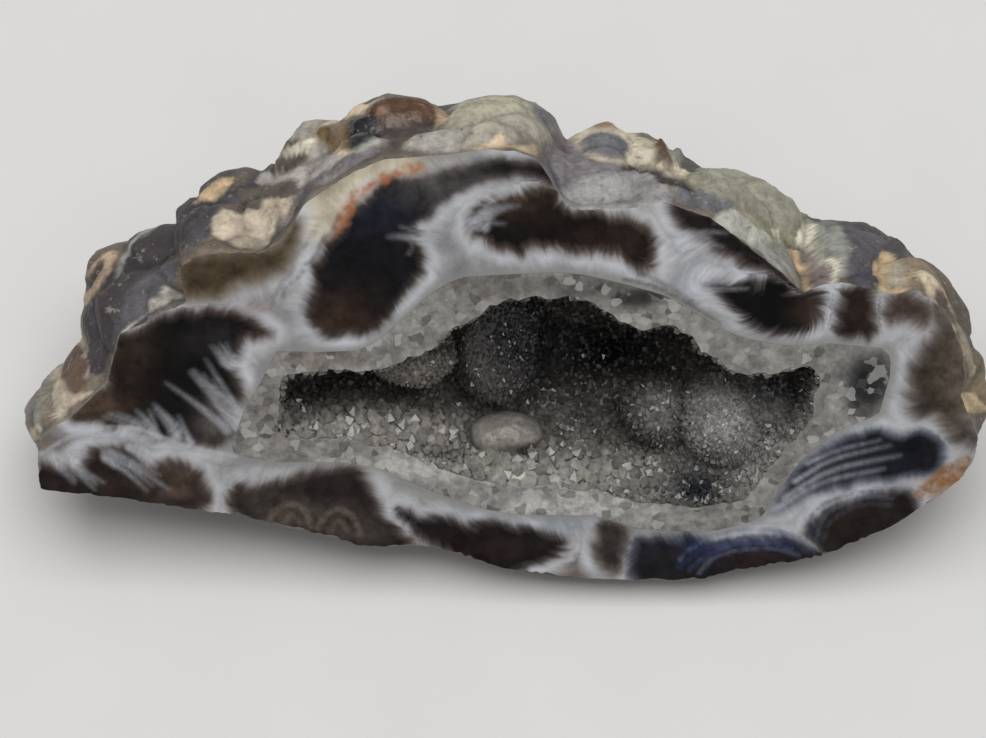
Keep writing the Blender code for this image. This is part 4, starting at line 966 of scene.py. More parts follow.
def build_mesh(name, points, triangles, materials, material_index, attributes, smooth):
    """One closed body from world points and triangles, with values, vectors or colours on its points."""
    mesh = bpy.data.meshes.new(name)
    mesh.from_pydata(points.tolist(), [], outward(points, triangles).tolist())
    for material in materials:
        mesh.materials.append(material)
    mesh.polygons.foreach_set("material_index", np.asarray(material_index, np.int32))
    mesh.polygons.foreach_set("use_smooth", np.asarray(smooth, bool))
    for key, values in attributes.items():
        kind, field = "FLOAT_VECTOR", "vector"
        if values.ndim == 1:
            kind, field = "FLOAT", "value"
        elif key.endswith("colour"):
            kind, field = "FLOAT_COLOR", "color"
            values = np.concatenate([values, np.ones((len(values), 1))], axis=1)
        made = mesh.attributes.new(key, kind, "POINT")
        made.data.foreach_set(field, values.astype(np.float32).ravel())
    mesh.update()
    return link(name, mesh)


def spot_share(points, middle, reach, hardness, fall):
    """1 in the middle of a soft spot, falling off round it, and faster at the edge of a hard one."""
    squares = ((points - np.array(middle)) / reach)**2
    return np.exp(-squares.sum(axis=1)**hardness * fall)


def spot_mix(points, colours, spots, hardness=1):
    """Spots of colour laid over the colours at 2-D points."""
    for middle, reach, spot_colour in spots:
        share = spot_share(points, middle, reach, hardness, SPOT_FALL)[:, None]
        colours = blend(colours, to_linear(spot_colour), share)
    return colours


def strand_wisps():
    """Thin wisps that fan out from the wider white strands."""
    rng = np.random.default_rng(WISP_SEED)
    for *route, wide, _ in STRANDS:
        if wide < WISPS_FROM:
            continue
        base, middle, tip = (np.array(point) for point in route)
        for _ in range(WISPS):
            shift = rng.normal(0, WISP_SHIFT, 2) * wide
            fan = rng.normal(0, WISP_FAN, 2) * wide + (tip - middle) * rng.uniform(*WISP_STRETCH)
            bent = middle + shift + fan * WISP_BEND
            yield base + shift, bent, tip + shift + fan, wide * WISP_WIDTH_SHARE, WISP_TIP


def pod_attributes(points):
    """For 2-D points on the face: the nearest pod, the place by its outline, its looks and colours."""
    count = len(points)
    along, which = np.zeros(count), np.zeros(count)
    depth = np.full(count, -POD_MARGIN)
    soft = np.tile(POD_FREE, (count, 1))
    core, edge = flat_colour(BLACK, count), flat_colour(SMOKE, count)
    for index, (feather, fade, lean, core_colour, edge_colour, outline) in enumerate(PODS.values()):
        loop = smooth_loop(outline)
        rows = np.flatnonzero(near(points, loop, POD_MARGIN))
        gap, place = loop_field(points[rows], loop)
        gap += POD_GROWTH
        wins = gap > depth[rows]
        rows, gap, place = rows[wins], gap[wins], place[wins]
        depth[rows] = gap
        along[rows] = place
        which[rows] = index + 1
        soft[rows] = (feather, fade, lean)
        core[rows] = to_linear(core_colour)
        edge[rows] = to_linear(edge_colour)
    core = spot_mix(points, core, DARK_SPOTS)
    place = np.stack([along, depth, which], axis=1)
    return {"pod": place, "soft": soft, "core_colour": core, "edge_colour": edge}


def strand_shares(points):
    """How much of the white strands covers each point."""
    strand = np.zeros(len(points))
    for *route, wide, thin in [*STRANDS, *strand_wisps()]:
        chain = smooth_chain(route)
        rows = np.flatnonzero(near(points, chain, STRAND_REACH))
        gap, place = chain_field(points[rows], chain, False)
        length = np.linalg.norm(np.diff(chain, axis=0), axis=1).sum()
        width = wide + (thin - wide) * place / length
        share = smooth_step(width * STRAND_WIDTH_SHARE - gap, *STRAND_EDGE)
        share = share * (1 - STRAND_FADE * place / length)
        strand[rows] = np.maximum(strand[rows], share)
    return strand


def pale_agate(points):
    """The colour of the pale agate between the pods."""
    route, width, colour = IRON_HALO
    gap = chain_field(points, smooth_chain(route), False)[0]
    share = smooth_step(-gap, -width * HALO_FADE[0], -width * HALO_FADE[1])[:, None]
    pale = spot_mix(points, flat_colour(PALE, len(points)), PALE_SPOTS)
    return blend(pale, to_linear(colour), share)


def stain_attributes(points):
    """How much iron stains each point, and its colour."""
    stain = np.zeros(len(points))
    colours = flat_colour(SMOKE, len(points))
    ragged = bumps(with_depth(points), STAIN_RAGGEDNESS)
    for route, widths, colour in IRON_STAINS:
        gap, place = chain_field(points, smooth_chain(route), False)
        width = np.interp(place, np.linspace(0, place.max(), len(widths)), widths)
        share = smooth_step(width + ragged - gap, *STAIN_EDGE)
        stain = np.maximum(stain, share)
        colours[share > 0] = to_linear(colour)
    return {"stain": stain, "stain_colour": colours}


def line_attributes(points):
    """How much of the thin lines covers each point, and their colour."""
    lines = np.zeros(len(points))
    colours = flat_colour(SMOKE, len(points))
    bands = [(face_place(np.array(route, float)), width, colour) for route, width, colour in POD_BANDS]
    for route, width, colour in [*HEALED_LINES, *bands]:
        gap = chain_field(points, smooth_chain(route), False)[0]
        share = np.clip(LINE_EDGE - gap / max(width, LINE_LEAST), 0, 1) * min(1.0, LINE_STRENGTH + width)
        wins = share > lines
        lines[wins] = share[wins]
        colours[wins] = to_linear(colour)
    return {"line": lines, "line_colour": colours}


def face_attributes(points):
    """What the sawn face's material reads, for 2-D points on the face."""
    return {
        **pod_attributes(points),
        **stain_attributes(points),
        **line_attributes(points),
        "pale_colour": pale_agate(points),
        "strand": strand_shares(points),
        "hollow_gap": chain_field(points, smooth_loop(HOLLOW_OUTLINE, 2), True)[0],
    }


def rind_surface(directions):
    """The rays, the rind's points with their lobes, and the lobes' rise, colour and creases."""
    origins, rays, length = smooth_stone(directions)
    points = origins + rays * length[:, None]
    rise = np.zeros(len(points))
    second = np.zeros(len(points))
    share = smooth_step(fractal(points, 7.0, 76), -0.4, 0.4)[:, None]
    colour = blend(to_linear(HIDDEN_COLOURS[0]), to_linear(HIDDEN_COLOURS[1]), share)
    drift = noise_columns(points, 3.0, (80, 83, 86))
    for middle, along, deep, turn, height, tint in [*RIND_LOBES, *hidden_lobes()]:
        share = inside_share(points, middle, (along, max(along, deep), deep), math.radians(turn))
        lift = height * share**LOBE_ROUNDNESS
        tinted = (smooth_step(lift - rise, 0.0, 0.16) * smooth_step(lift, 0.0, 0.5))[:, None]
        colour = blend(colour, to_linear(tint), tinted)
        wins = lift > rise
        second = np.where(wins, rise, np.maximum(second, lift))
        rise = np.where(wins, lift, rise)
    colour = colour * (0.92 + 0.2 * drift[:, :1]) * (1 + 0.05 * drift)
    crease = 1 - smooth_step(rise - second, 0.0, CREASE_WIDTH)
    surface = origins + rays * (length + rise * below_rim(points))[:, None]
    return rays, surface, rise, colour, crease


def lay_patches(surface, normals, colour):
    """The colours, rise and gloss of the patches that the photo shows, seen along its line of sight."""
    scale = CAMERA_DISTANCE / MM / FOCAL_PIXELS
    wobble = noise_columns(surface, 1.6, (90, 93)) + 0.5 * noise_columns(surface, 0.6, (96, 99))
    seen = photo_place(surface) + wobble * PATCH_WOBBLE
    to_camera = np.array([0, math.sin(CAMERA_ABOVE_FACE_NORMAL), math.cos(CAMERA_ABOVE_FACE_NORMAL)])
    facing = smooth_step(normals @ to_camera, -0.05, LOOKS_BACK)
    rise = np.zeros(len(surface))
    gloss = np.zeros(len(surface))
    edge_gap = np.full(len(surface), np.inf)
    for name, (tint, lift, outline) in RIND_PATCHES.items():
        loop = smooth_loop(outline, 3)
        rows = np.flatnonzero(near(seen, loop, PATCH_MARGIN))
        gap = loop_field(seen[rows], loop)[0] * scale
        share = smooth_step(gap, -PATCH_SOFTNESS, PATCH_SOFTNESS) * facing[rows]
        colour[rows] = blend(colour[rows], to_linear(tint), share[:, None])
        rise[rows] = blend(rise[rows], lift, smooth_step(gap, -0.15, 0.55) * facing[rows])
        gloss[rows] = blend(gloss[rows], float(name in GLOSSY), share)
        nearer = np.minimum(edge_gap[rows], np.abs(gap + 0.12))
        edge_gap[rows] = np.where(facing[rows] > 0.5, nearer, edge_gap[rows])
    colour = colour * (1 - EDGE_SHADE * (1 - smooth_step(edge_gap, 0.0, 0.28)))[:, None]
    return colour, rise, gloss


def rind_relief(surface):
    """Small bumps, steps and pits of the rind, in millimetres along the rays."""
    terraces = np.abs(bumps(surface, RIND_TERRACES))
    pits = -PIT_DEPTH * smooth_step(fractal(surface, 1.5, 32, 2), *PIT_RANGE)
    return bumps(surface, *RIND_BUMPS) - terraces + pits


def dressed_rind():
    """The rind with its patches and relief: its points, triangles and rim, and its colour and gloss."""
    directions, triangles, rim = half_sphere(RIND_CUTS)
    rays, surface, rise, colour, crease = rind_surface(directions)
    normals = vertex_normals(surface, triangles)
    colour, patch_rise, gloss = lay_patches(surface, normals, colour)
    depth_share = smooth_step(-surface[:, 2], *RIM_FADE)
    relief = (rind_relief(surface) + patch_rise - CREASE_DEPTH * crease * (rise > 0.05)) * depth_share
    surface = surface + rays * relief[:, None]
    colour = colour * (1 - CREASE_SHADE * crease * depth_share)[:, None]
    chips = np.abs(bumps(surface[rim], CHIPS)) * np.where(surface[rim, 1] < LOWER_EDGE, *CHIP_SHARES)
    surface[rim] -= rays[rim] * (1, 1, 0) * chips[:, None]
    surface[rim, 2] = 0
    return (surface, triangles, rim), colour, gloss


def hollow_wall(less):
    """The wall of the hollow, moved inward along its rays: its points, triangles and rim."""
    directions, triangles, rim = half_sphere(WALL_CUTS)
    origins, rays = spine_rays(directions, HOLLOW_CENTRE, HOLLOW_HALF_SIZES)
    length = section_length(origins, rays, HOLLOW_OUTLINE, HOLLOW_HALF_SIZES[2], HOLLOW_POWER)
    wall = origins + rays * (length - less)[:, None]
    wall[rim, 2] = 0
    return wall, triangles, rim


def make_stone():
    """The agate half: the lobed rind, the flat sawn face and the wall of the hollow, as one closed body."""
    rind, colour, gloss = dressed_rind()
    points, faces, counts = close_body(rind, hollow_wall(0.0), FACE_STEP, 5)
    material_index = np.repeat([0, 1, 1], counts)
    rest = len(points) - len(colour)
    attributes = face_attributes(points[:, :2])
    attributes["rind_colour"] = np.concatenate([colour, flat_colour(PALE, rest)])
    attributes["gloss"] = np.concatenate([gloss, np.zeros(rest)])
    world = to_world(points)
    world[:, 2] = np.maximum(world[:, 2], 0)
    stone = build_mesh(
        "agate_stone", world, faces, [rind_material(), face_material()],
        material_index, attributes, material_index == 0)
    mark_sharp(stone.data)
    return stone


def mark_sharp(mesh):
    """A sharp edge wherever two materials meet."""
    loops = np.empty(len(mesh.loops), np.int32)
    mesh.loops.foreach_get("edge_index", loops)
    index = np.empty(len(mesh.polygons), np.int32)
    mesh.polygons.foreach_get("material_index", index)
    index = np.repeat(index, 3)
    low = np.full(len(mesh.edges), 99)
    high = np.full(len(mesh.edges), -1)
    np.minimum.at(low, loops, index)
    np.maximum.at(high, loops, index)
    mesh.edges.foreach_set("use_edge_sharp", low != high)


def druse_surface():
    """The crystal-covered inner side of the crust: its points, triangles and rim."""
    directions, triangles, rim = half_sphere(DRUSE_CUTS)
    origins, rays = spine_rays(directions, HOLLOW_CENTRE, HOLLOW_HALF_SIZES)
    whole = section_length(origins, rays, HOLLOW_OUTLINE, HOLLOW_HALF_SIZES[2], HOLLOW_POWER)
    free = section_length(origins, rays, MOUTH_EDGE, MOUTH_DEPTH, HOLLOW_POWER)
    length = free
    for middle, reach in INNER_LUMPS.values():
        length = np.minimum(length, entry_length(origins, rays, middle, reach))
    points = origins + rays * length[:, None]
    scallops = SCALLOP_DEPTH * np.abs(fractal(points, 1.5, 57, 2)) * smooth_step(points[:, 2], -1.5, 0.0)
    rough = np.abs(bumps(points, *DRUSE_BUMPS)) * smooth_step(-points[:, 2], 0.0, 1.5)
    length = length - rough - scallops
    length = np.minimum(length, whole - LINING_GAP - LINING_LEAST * 0.5)
    druse = origins + rays * np.minimum(length, free)[:, None]
    druse[rim, 2] = 0
    return druse, triangles, rim


def druse_tone_light_and_shade(points):
    """The colour of the crystals at local points, with the painted light and shade of the spots."""
    place = apparent_place(points)
    colours = spot_mix(place, flat_colour(DRUSE_BASE, len(points)), DRUSE_SPOTS_LIGHT_AND_SHADE)
    return colours * (1 + 0.25 * fractal(points, 1.7, 60))[:, None]


def crystal_radius(points, rng):
    """How wide the crystals are that grow at each point."""
    place = apparent_place(points)
    radius = np.full(len(points), CRYSTAL_RADIUS)
    for middle, reach, size in DRUSE_SIZES:
        radius = blend(radius, size, spot_share(place, middle, reach, 2, 1.0))
    return radius * rng.uniform(*CRYSTAL_SPREAD, len(points))


def scatter(points, triangles, rng, tries):
    """Seeded places over a surface and the normal at each."""
    corners = points[triangles]
    first_side, second_side = corners[:, 1] - corners[:, 0], corners[:, 2] - corners[:, 0]
    normals = np.cross(first_side, second_side)
    area = np.linalg.norm(normals, axis=1)
    chosen = rng.choice(len(triangles), tries, p=area / area.sum())
    first, second = rng.random((2, tries, 1))
    flip = first + second > 1
    first, second = np.where(flip, 1 - first, first), np.where(flip, 1 - second, second)
    places = corners[chosen, 0] + first * first_side[chosen] + second * second_side[chosen]
    return places, normals[chosen] / area[chosen][:, None]


def spread_out(places, radii, closeness):
    """Which of the places stay when each keeps its distance from those before it."""
    cells = {}
    size = radii.max() * 2 * closeness
    steps = list(product((-1, 0, 1), repeat=3))

    def has_room(key, place, radius):
        for step in steps:
            for other in cells.get((key[0] + step[0], key[1] + step[1], key[2] + step[2]), ()):
                gap = places[other] - place
                least = (radius + radii[other]) * closeness
                if gap[0] * gap[0] + gap[1] * gap[1] + gap[2] * gap[2] < least * least:
                    return False
        return True

    keep = []
    for index, (place, radius) in enumerate(zip(places, radii)):
        key = tuple(np.floor(place / size).astype(int))
        if has_room(key, place, radius):
            cells.setdefault(key, []).append(index)
            keep.append(index)
    return np.array(keep)


def crystal_mesh(middles, axes, radii, rng):
    """Six-sided quartz points, one closed body each: the points and the triangles."""
    count = len(middles)
    helper = np.where(np.abs(axes[:, :1]) < 0.8, np.array([[1.0, 0, 0]]), np.array([[0, 1.0, 0]]))
    side = np.cross(axes, helper)
    side /= np.linalg.norm(side, axis=1)[:, None]
    front = np.cross(axes, side)
    turn = rng.uniform(0, math.tau, count)
    height = rng.uniform(*CRYSTAL_HEIGHTS, count)
    stretch = rng.uniform(*CRYSTAL_NARROWING, count)
    ring = []
    for corner in range(CRYSTAL_SIDES):
        angle = turn + corner * math.tau / CRYSTAL_SIDES
        wide = radii * rng.uniform(*CRYSTAL_CORNERS, count)
        lift = radii * (height + CRYSTAL_STEPS[corner % 2])
        across = side * (np.cos(angle) * wide)[:, None]
        along = front * (np.sin(angle) * wide * stretch)[:, None]
        ring.append(middles + across + along + axes * lift[:, None])
    lean = rng.uniform(-CRYSTAL_LEAN, CRYSTAL_LEAN, (count, 2)) * radii[:, None]
    tip = middles + axes * (radii * (height + rng.uniform(*CRYSTAL_TIPS, count)))[:, None]
    tip = tip + side * lean[:, :1] + front * lean[:, 1:]
    foot = middles - axes * (radii * CRYSTAL_FOOT)[:, None]
    points = np.stack([tip, foot, *ring], axis=1)
    pattern = []
    for corner in range(CRYSTAL_SIDES):
        here, after = 2 + corner, 2 + (corner + 1) % CRYSTAL_SIDES
        pattern += [(0, here, after), (1, after, here)]
    triangles = np.array(pattern)[None] + (np.arange(count) * points.shape[1])[:, None, None]
    return points.reshape(-1, 3), triangles.reshape(-1, 3)


def make_crust(druse):
    """The quartz lining: its back, its sawn rim and the crystals' ground, as one closed body."""
    points, faces, counts = close_body(hollow_wall(CRUST_GAP), druse, CRUST_STEP, 6)
    sawn = spot_mix(points[:, :2], flat_colour(SAWN_BASE, len(points)), SAWN_SPOTS, 2)
    return build_mesh(
        "quartz_lining", to_world(points), faces, [druse_material(), sawn_material()],
        np.repeat([0, 0, 1], counts), {"tone_light_and_shade_colour": druse_tone_light_and_shade(points), "sawn_colour": sawn},
        np.zeros(len(faces)))


def grow_crystals(druse, rng):
    """The crystals that cover the hollow: their points, triangles and tones, painted light and shade
    included.
    """
    surface, triangles, _ = druse
    places, normals = scatter(surface, triangles[:, ::-1], rng, CRYSTAL_TRIES)
    turned = (normals * (HOLLOW_MIDDLE - places)).sum(axis=1) < 0
    normals = np.where(turned[:, None], -normals, normals)
    radii = crystal_radius(places, rng)
    knob, reach = INNER_LUMPS["rounded_knob"]
    is_bare = inside_share(places, knob, np.array(reach) + KNOB_BARE) > 0
    keep = ~is_bare & (places[:, 2] < -CRYSTAL_FOOT_DEPTH)
    places, normals, radii = places[keep], normals[keep], radii[keep]
    order = np.argsort(-radii + rng.uniform(0, 0.3, len(radii)))
    places, normals, radii = places[order], normals[order], radii[order]
    chosen = spread_out(places, radii, CRYSTAL_CLOSENESS)
    places, normals, radii = places[chosen], normals[chosen], radii[chosen]
    axes = normals + rng.normal(0, CRYSTAL_TILT, normals.shape)
    axes /= np.linalg.norm(axes, axis=1)[:, None]
    points, faces = crystal_mesh(places, axes, radii, rng)
    points[:, 2] = np.minimum(points[:, 2], -CRYSTAL_TIP_DEPTH)
    tone = druse_tone_light_and_shade(places) * rng.uniform(*CRYSTAL_TONES, (len(places), 1))
    return points, faces, np.repeat(tone, CRYSTAL_SIDES + 2, axis=0)


def make_crystals(druse):
    """All the crystal points of the hollow and its smooth knob, as one mesh."""
    points, faces, tone = grow_crystals(druse, np.random.default_rng(CRYSTAL_SEED))
    knob, knob_faces = knob_mesh()
    is_knob = np.repeat([False, True], [len(faces), len(knob_faces)])
    faces = np.concatenate([faces, knob_faces + len(points)])
    points = np.concatenate([points, knob])
    tone = np.concatenate([tone, druse_tone_light_and_shade(knob)])
    materials = [crystal_material(), bpy.data.materials["quartz_druse"]]
    return build_mesh(
        "quartz_crystals", to_world(points), faces, materials, is_knob, {"tone_light_and_shade_colour": tone}, is_knob)


def knob_mesh():
    """The smooth rounded knob in the hollow, which carries no crystals."""
    bm = bmesh.new()
    bmesh.ops.create_icosphere(bm, subdivisions=5, radius=1.0)
    directions = np.array([vertex.co for vertex in bm.verts])
    faces = np.array([[vertex.index for vertex in face.verts] for face in bm.faces])
    bm.free()
    middle, reach = INNER_LUMPS["rounded_knob"]
    points = np.array(middle) + directions * (np.array(reach) + KNOB_SKIN)
    return points + directions * KNOB_DENTS * fractal(points, 1.2, 44)[:, None], faces


class Nodes:
    """A short way to write a material's or the world's node tree."""

    def __init__(self, tree):
        self.tree = tree
        tree.nodes.clear()

    def add(self, kind, inputs=None, **settings):
        node = self.tree.nodes.new(kind)
        for key, value in settings.items():
            setattr(node, key, value)
        for key, value in (inputs or {}).items():
            if isinstance(value, bpy.types.NodeSocket):
                self.tree.links.new(value, node.inputs[key])
            else:
                node.inputs[key].default_value = value
        return node

    def math(self, operation, first, second=0.0, third=0.0):
        inputs = {0: first, 1: second, 2: third}
        return self.add("ShaderNodeMath", inputs, operation=operation).outputs[0]

    def times(self, first, second):
        return self.math("MULTIPLY", first, second)

    def plus(self, first, second):
        return self.math("ADD", first, second)

    def centred(self, noise, share):
        """Noise round 0, of the given strength."""
        return self.times(self.math("SUBTRACT", noise, 0.5), share)

    def split(self, vector):
        return self.add("ShaderNodeSeparateXYZ", {0: vector}).outputs

    def step(self, value, low, high, bottom=0.0, top=1.0):
        inputs = {"Value": value, "From Min": low, "From Max": high, "To Min": bottom, "To Max": top}
        return self.add("ShaderNodeMapRange", inputs, interpolation_type="SMOOTHSTEP").outputs[0]

    def mix(self, share, first, second, blend="MIX"):
        node = self.add("ShaderNodeMix", data_type="RGBA", blend_type=blend)
        sockets = [s for s in node.inputs if s.enabled]
        for socket, value in zip(sockets, (share, first, second)):
            if isinstance(value, bpy.types.NodeSocket):
                self.tree.links.new(value, socket)
            else:
                socket.default_value = value
        return next(s for s in node.outputs if s.enabled)

    def read(self, name, output="Fac"):
        return self.add("ShaderNodeAttribute", attribute_name=name).outputs[output]

    def place(self):
        return self.add("ShaderNodeTexCoord").outputs["Object"]

    def noise(self, vector, scale, detail=3.0, roughness=0.55):
        inputs = {"Vector": vector, "Scale": scale, "Detail": detail, "Roughness": roughness}
        return self.add("ShaderNodeTexNoise", inputs).outputs["Fac"]

    def mottle(self, place, scale, span, levels, detail=3.0, roughness=0.55):
        """Noise whose values in the span run from the first level to the second."""
        return self.step(self.noise(place, scale, detail, roughness), *span, *levels)

    def grow(self, colour, share):
        """The colour made lighter or darker by a factor."""
        return self.add("ShaderNodeVectorMath", {0: colour, "Scale": share}, operation="SCALE").outputs[0]

    def bump(self, height, strength, distance):
        inputs = {"Height": height, "Strength": strength, "Distance": distance}
        return self.add("ShaderNodeBump", inputs).outputs[0]

    def surface(self, colour, roughness, **others):
        inputs = {key.replace("_", " "): value for key, value in others.items()}
        inputs.update({"Base Color": colour, "Roughness": roughness})
        shader = self.add("ShaderNodeBsdfPrincipled", inputs)
        self.add("ShaderNodeOutputMaterial", {"Surface": shader.outputs[0]})


def paint(colour):
    """An 8-bit display colour as a socket's value."""
    return (*to_linear(colour), 1)


def new_material(name):
    material = bpy.data.materials.new(name)
    material.use_nodes = True
    return material, Nodes(material.node_tree)


def rind_material():
    """The natural skin: blotched and grainy, with dust and dirt, and glossy where the agate is bare."""
    material, nodes = new_material("agate_rind")
    place = nodes.place()
    blotch = nodes.noise(place, 700.0, 4.0, 0.65)
    grain = nodes.noise(place, 2600.0, 3.0, 0.6)
    light = nodes.plus(nodes.step(blotch, 0.25, 0.75, 0.66, 1.32), nodes.step(grain, 0.2, 0.8, -0.14, 0.14))
    colour = nodes.grow(nodes.read("rind_colour", "Color"), light)
    dust = nodes.mottle(place, 1150.0, (0.58, 0.7), (0.0, 0.5), 4.0, 0.7)
    colour = nodes.mix(dust, colour, paint(DUST))
    dirt = nodes.mottle(place, 950.0, (0.6, 0.72), (0.0, 0.55), 3.0, 0.7)
    colour = nodes.mix(dirt, colour, paint(DIRT))
    dull = nodes.step(blotch, 0.3, 0.7, 0.5, 0.72)
    roughness = nodes.math("SUBTRACT", dull, nodes.times(nodes.read("gloss"), 0.34))
    relief = nodes.bump(nodes.plus(blotch, nodes.times(grain, 0.5)), 0.55, 0.00025)
    nodes.surface(colour, roughness, Normal=relief)
    return material


def fibre(nodes, grain, width, length, seed, detail=1.0):
    """Noise drawn out along the fibres of the pods; grain is the slanted place, the depth and the pod."""
    slanted, depth, pod = grain
    vector = nodes.add("ShaderNodeCombineXYZ", {
        0: nodes.math("DIVIDE", slanted, width),
        1: nodes.math("DIVIDE", depth, length),
        2: nodes.math("MULTIPLY_ADD", pod, 7.3, seed),
    }).outputs[0]
    return nodes.noise(vector, 1.0, detail)


def pale_fibres(nodes, place, depth, inside, strands, mist):
    """The pale agate: fibrous, glowing white round the pods and grey at the hollow's rim."""
    specks = nodes.mottle(place, 3400.0, (0.66, 0.74), (0.0, 0.16), 2.0)
    veil = nodes.mottle(place, 420.0, (0.25, 0.75), (0.8, 1.18), 4.0, 0.6)
    light = nodes.plus(veil, nodes.times(strands, 0.9))
    pale = nodes.grow(nodes.read("pale_colour", "Color"), nodes.plus(light, specks))
    pale = nodes.grow(pale, nodes.step(depth, -3.6, -0.8, 0.62, 1.0))
    ring = nodes.step(inside, -1.6, -0.2, 0.0, 1.0)
    glow = nodes.mottle(place, 190.0, (0.35, 0.68), (0.16, 0.74), 2.0)
    pale = nodes.mix(nodes.times(ring, glow), pale, paint(GLOW))
    rim = nodes.plus(nodes.read("hollow_gap"), nodes.times(mist, 0.8))
    return nodes.mix(nodes.step(rim, 1.1, 0.0, 0.0, 0.8), pale, paint(HOLLOW_RIM))


def lay_pods(nodes, place, inside, fade, colour):
    """The pods' soft edges and dark middles over the pale agate."""
    haze = nodes.noise(place, 600.0, 4.0, 0.6)
    core = nodes.grow(nodes.read("core_colour", "Color"), nodes.step(haze, 0.2, 0.8, 0.3, 1.15))
    edge = nodes.grow(nodes.read("edge_colour", "Color"), nodes.step(haze, 0.2, 0.8, 0.75, 1.3))
    edge_end = nodes.plus(nodes.times(fade, 0.9), 0.3)
    colour = nodes.mix(nodes.step(inside, -0.5, edge_end), colour, edge)
    core_end = nodes.math("MULTIPLY_ADD", fade, 1.5, 0.5)
    return nodes.mix(nodes.step(inside, 0.1, core_end), colour, core)


def lay_marks(nodes, place, strands, colour):
    """White strands, iron stains and thin healed lines over the rest."""
    wisps = nodes.mottle(place, 1100.0, (0.25, 0.75), (0.65, 1.0))
    strand = nodes.times(nodes.read("strand"), wisps)
    white = nodes.grow(tuple(to_linear(STRAND_WHITE)), nodes.step(strands, -0.1, 0.1, 0.8, 1.1))
    colour = nodes.mix(nodes.times(strand, 0.62), colour, white)
    rust = nodes.times(nodes.read("stain"), nodes.mottle(place, 1300.0, (0.3, 0.7), (0.3, 0.9)))
    colour = nodes.mix(rust, colour, nodes.read("stain_colour", "Color"))
    line = nodes.times(nodes.read("line"), nodes.mottle(place, 1300.0, (0.3, 0.6), (0.25, 0.85)))
    return nodes.mix(line, colour, nodes.read("line_colour", "Color"))


def face_material():
    """Polished agate: dark pods that white fibres grow into, fibrous pale agate and healed lines."""
    material, nodes = new_material("agate_face")
    place = nodes.place()
    along, depth, pod = nodes.split(nodes.read("pod", "Vector"))
    feather, fade, lean = nodes.split(nodes.read("soft", "Vector"))
    slanted = nodes.math("MULTIPLY_ADD", lean, depth, along)
    grain = nodes.plus(slanted, nodes.times(nodes.noise(place, 350.0), 1.6)), depth, pod
    tongues = nodes.centred(fibre(nodes, grain, 2.3, 9.0, 0.0), 3.0)
    hairs = nodes.centred(fibre(nodes, grain, 0.42, 7.0, 3.1), 0.95)
    strands = nodes.centred(fibre(nodes, grain, 0.5, 5.0, 9.7, 3.0), nodes.step(depth, -4.0, -0.3))
    mist = nodes.centred(nodes.noise(place, 700.0), 0.6)
    inside = nodes.plus(depth, nodes.times(nodes.plus(tongues, hairs), feather))
    inside = nodes.plus(inside, mist)
    colour = pale_fibres(nodes, place, depth, inside, strands, mist)
    colour = lay_pods(nodes, place, inside, fade, colour)
    colour = lay_marks(nodes, place, strands, colour)
    roughness = nodes.mottle(place, 500.0, (0.3, 0.7), (0.16, 0.24))
    nodes.surface(colour, roughness, IOR=AGATE_IOR, Specular_IOR_Level=0.35)
    return material


def sawn_material():
    """The crust where the saw cut it: packed grey quartz grains, a few with painted glints."""
    material, nodes = new_material("quartz_sawn")
    place = nodes.place()
    noise = nodes.add("ShaderNodeTexNoise", {"Vector": place, "Scale": 1500.0}).outputs["Color"]
    shift = nodes.grow(noise, 0.0004)
    wobble = nodes.add("ShaderNodeVectorMath", {0: place, 1: shift}, operation="ADD").outputs[0]
    grains = {"Vector": wobble, "Scale": 1100.0}
    cells = nodes.add("ShaderNodeTexVoronoi", grains)
    tint = nodes.add("ShaderNodeSeparateColor", {0: cells.outputs["Color"]}).outputs[0]
    seams = nodes.add("ShaderNodeTexVoronoi", grains, feature="DISTANCE_TO_EDGE")
    seam = nodes.step(seams.outputs["Distance"], 0.0, 0.12, 0.92, 1.0)
    clouds = nodes.mottle(place, 560.0, (0.3, 0.7), (0.6, 1.38), 5.0, 0.7)
    light = nodes.times(nodes.step(tint, 0.0, 1.0, 0.84, 1.16), clouds)
    light = nodes.times(light, nodes.step(tint, 0.02, 0.12, 0.6, 1.0))
    colour = nodes.grow(nodes.read("sawn_colour", "Color"), nodes.times(light, seam))
    # Painted glints: a few grains made nearly white
    colour = nodes.mix(nodes.step(tint, 0.88, 0.97, 0.0, 0.45), colour, paint(GRAIN_GLINT))
    pale = nodes.mottle(place, 800.0, (0.6, 0.72), (0.0, 0.5), 3.0, 0.6)
    colour = nodes.mix(pale, colour, paint(GRAIN_CLOUD))
    roughness = nodes.mottle(place, 700.0, (0.3, 0.7), (0.22, 0.4))
    nodes.surface(colour, roughness, IOR=QUARTZ_IOR, Transmission_Weight=0.12)
    return material


def druse_material():
    """The quartz that the crystals grow from."""
    material, nodes = new_material("quartz_druse")
    place = nodes.place()
    grain = nodes.noise(place, 1600.0, 3.0, 0.6)
    colour = nodes.grow(nodes.read("tone_light_and_shade_colour", "Color"), nodes.step(grain, 0.2, 0.8, 0.55, 1.1))
    relief = nodes.bump(grain, 0.5, 0.0003)
    nodes.surface(colour, 0.3, IOR=QUARTZ_IOR, Normal=relief)
    return material


def crystal_material():
    """Clear to grey quartz points."""
    material, nodes = new_material("quartz_points")
    place = nodes.place()
    cloud = nodes.noise(place, 1800.0, 3.0, 0.6)
    colour = nodes.grow(nodes.read("tone_light_and_shade_colour", "Color"), nodes.step(cloud, 0.2, 0.8, 0.7, 1.35))
    roughness = nodes.step(cloud, 0.3, 0.7, 0.06, 0.2)
    nodes.surface(colour, roughness, IOR=QUARTZ_IOR, Transmission_Weight=0.5)
    return material


def floor_material():
    material, nodes = new_material("pale_floor")
    paper = nodes.noise(nodes.place(), 60.0, 2.0)
    colour = nodes.mix(paper, *map(paint, FLOOR_COLOURS))
    nodes.surface(colour, 0.8)
    return material


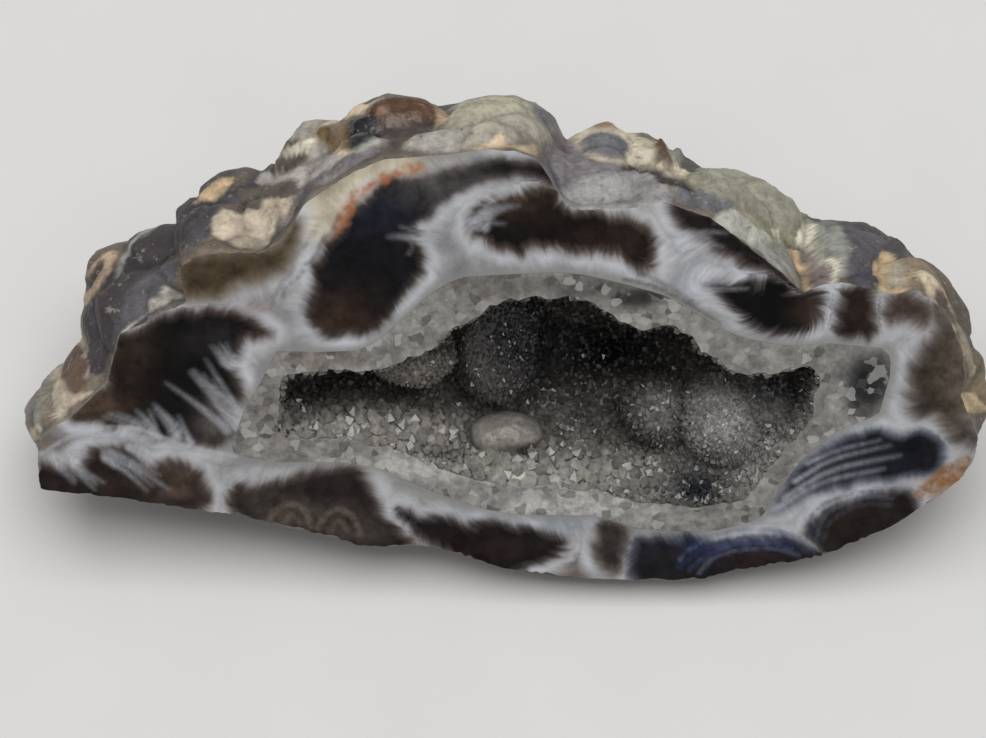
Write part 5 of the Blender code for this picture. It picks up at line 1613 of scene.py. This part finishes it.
def make_floor():
    mesh = bpy.data.meshes.new("floor")
    half = FLOOR_HALF_WIDTH
    corners = [(-half, -half, 0), (half, -half, 0), (half, half, 0), (-half, half, 0)]
    mesh.from_pydata(corners, [], [(0, 1, 2, 3)])
    mesh.materials.append(floor_material())
    return link("floor", mesh)


def make_camera():
    """The photo's camera: above the sawn face, looking steeply down."""
    data = bpy.data.cameras.new("camera")
    data.sensor_width = SENSOR_WIDTH
    data.lens = SENSOR_WIDTH * FOCAL_PIXELS / PHOTO_SIZE[0]
    camera = link("camera", data)
    tilt = FACE_TILT + CAMERA_ABOVE_FACE_NORMAL
    camera.location = FACE_CENTRE + CAMERA_DISTANCE * Vector((0, -math.cos(tilt), math.sin(tilt)))
    camera.rotation_euler = (math.pi / 2 - tilt, 0, 0)
    bpy.context.scene.camera = camera


def make_lamp(name, place, target, size, power):
    data = bpy.data.lights.new(name, "AREA")
    data.shape = "RECTANGLE"
    data.size, data.size_y = size
    data.energy = power
    lamp = link(name, data)
    lamp.location = place
    lamp.rotation_euler = (Vector(target) - Vector(place)).to_track_quat("-Z", "Y").to_euler()
    lamp.visible_camera = False


def make_light():
    """A soft sky that is brightest overhead, and a soft lamp above the stone."""
    world = bpy.data.worlds.new("sky")
    bpy.context.scene.world = world
    world.use_nodes = True
    nodes = Nodes(world.node_tree)
    direction = nodes.add("ShaderNodeTexCoord").outputs["Generated"]
    height = nodes.split(direction)[2]
    strength = nodes.step(height, *SKY_HEIGHTS, *SKY_STRENGTHS)
    background = nodes.add("ShaderNodeBackground", {"Color": (*SKY_COLOUR, 1), "Strength": strength})
    nodes.add("ShaderNodeOutputWorld", {"Surface": background.outputs[0]})
    for lamp in LAMPS:
        make_lamp(*lamp)


stone = make_stone()
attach(stone, "root")
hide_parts("agate_shell")
druse = druse_surface()
for piece in (make_crust(druse), make_crystals(druse)):
    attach(piece, "root")
    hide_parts("quartz_crust")
make_floor()
make_camera()
make_light()
bpy.context.scene.view_settings.view_transform = "Standard"
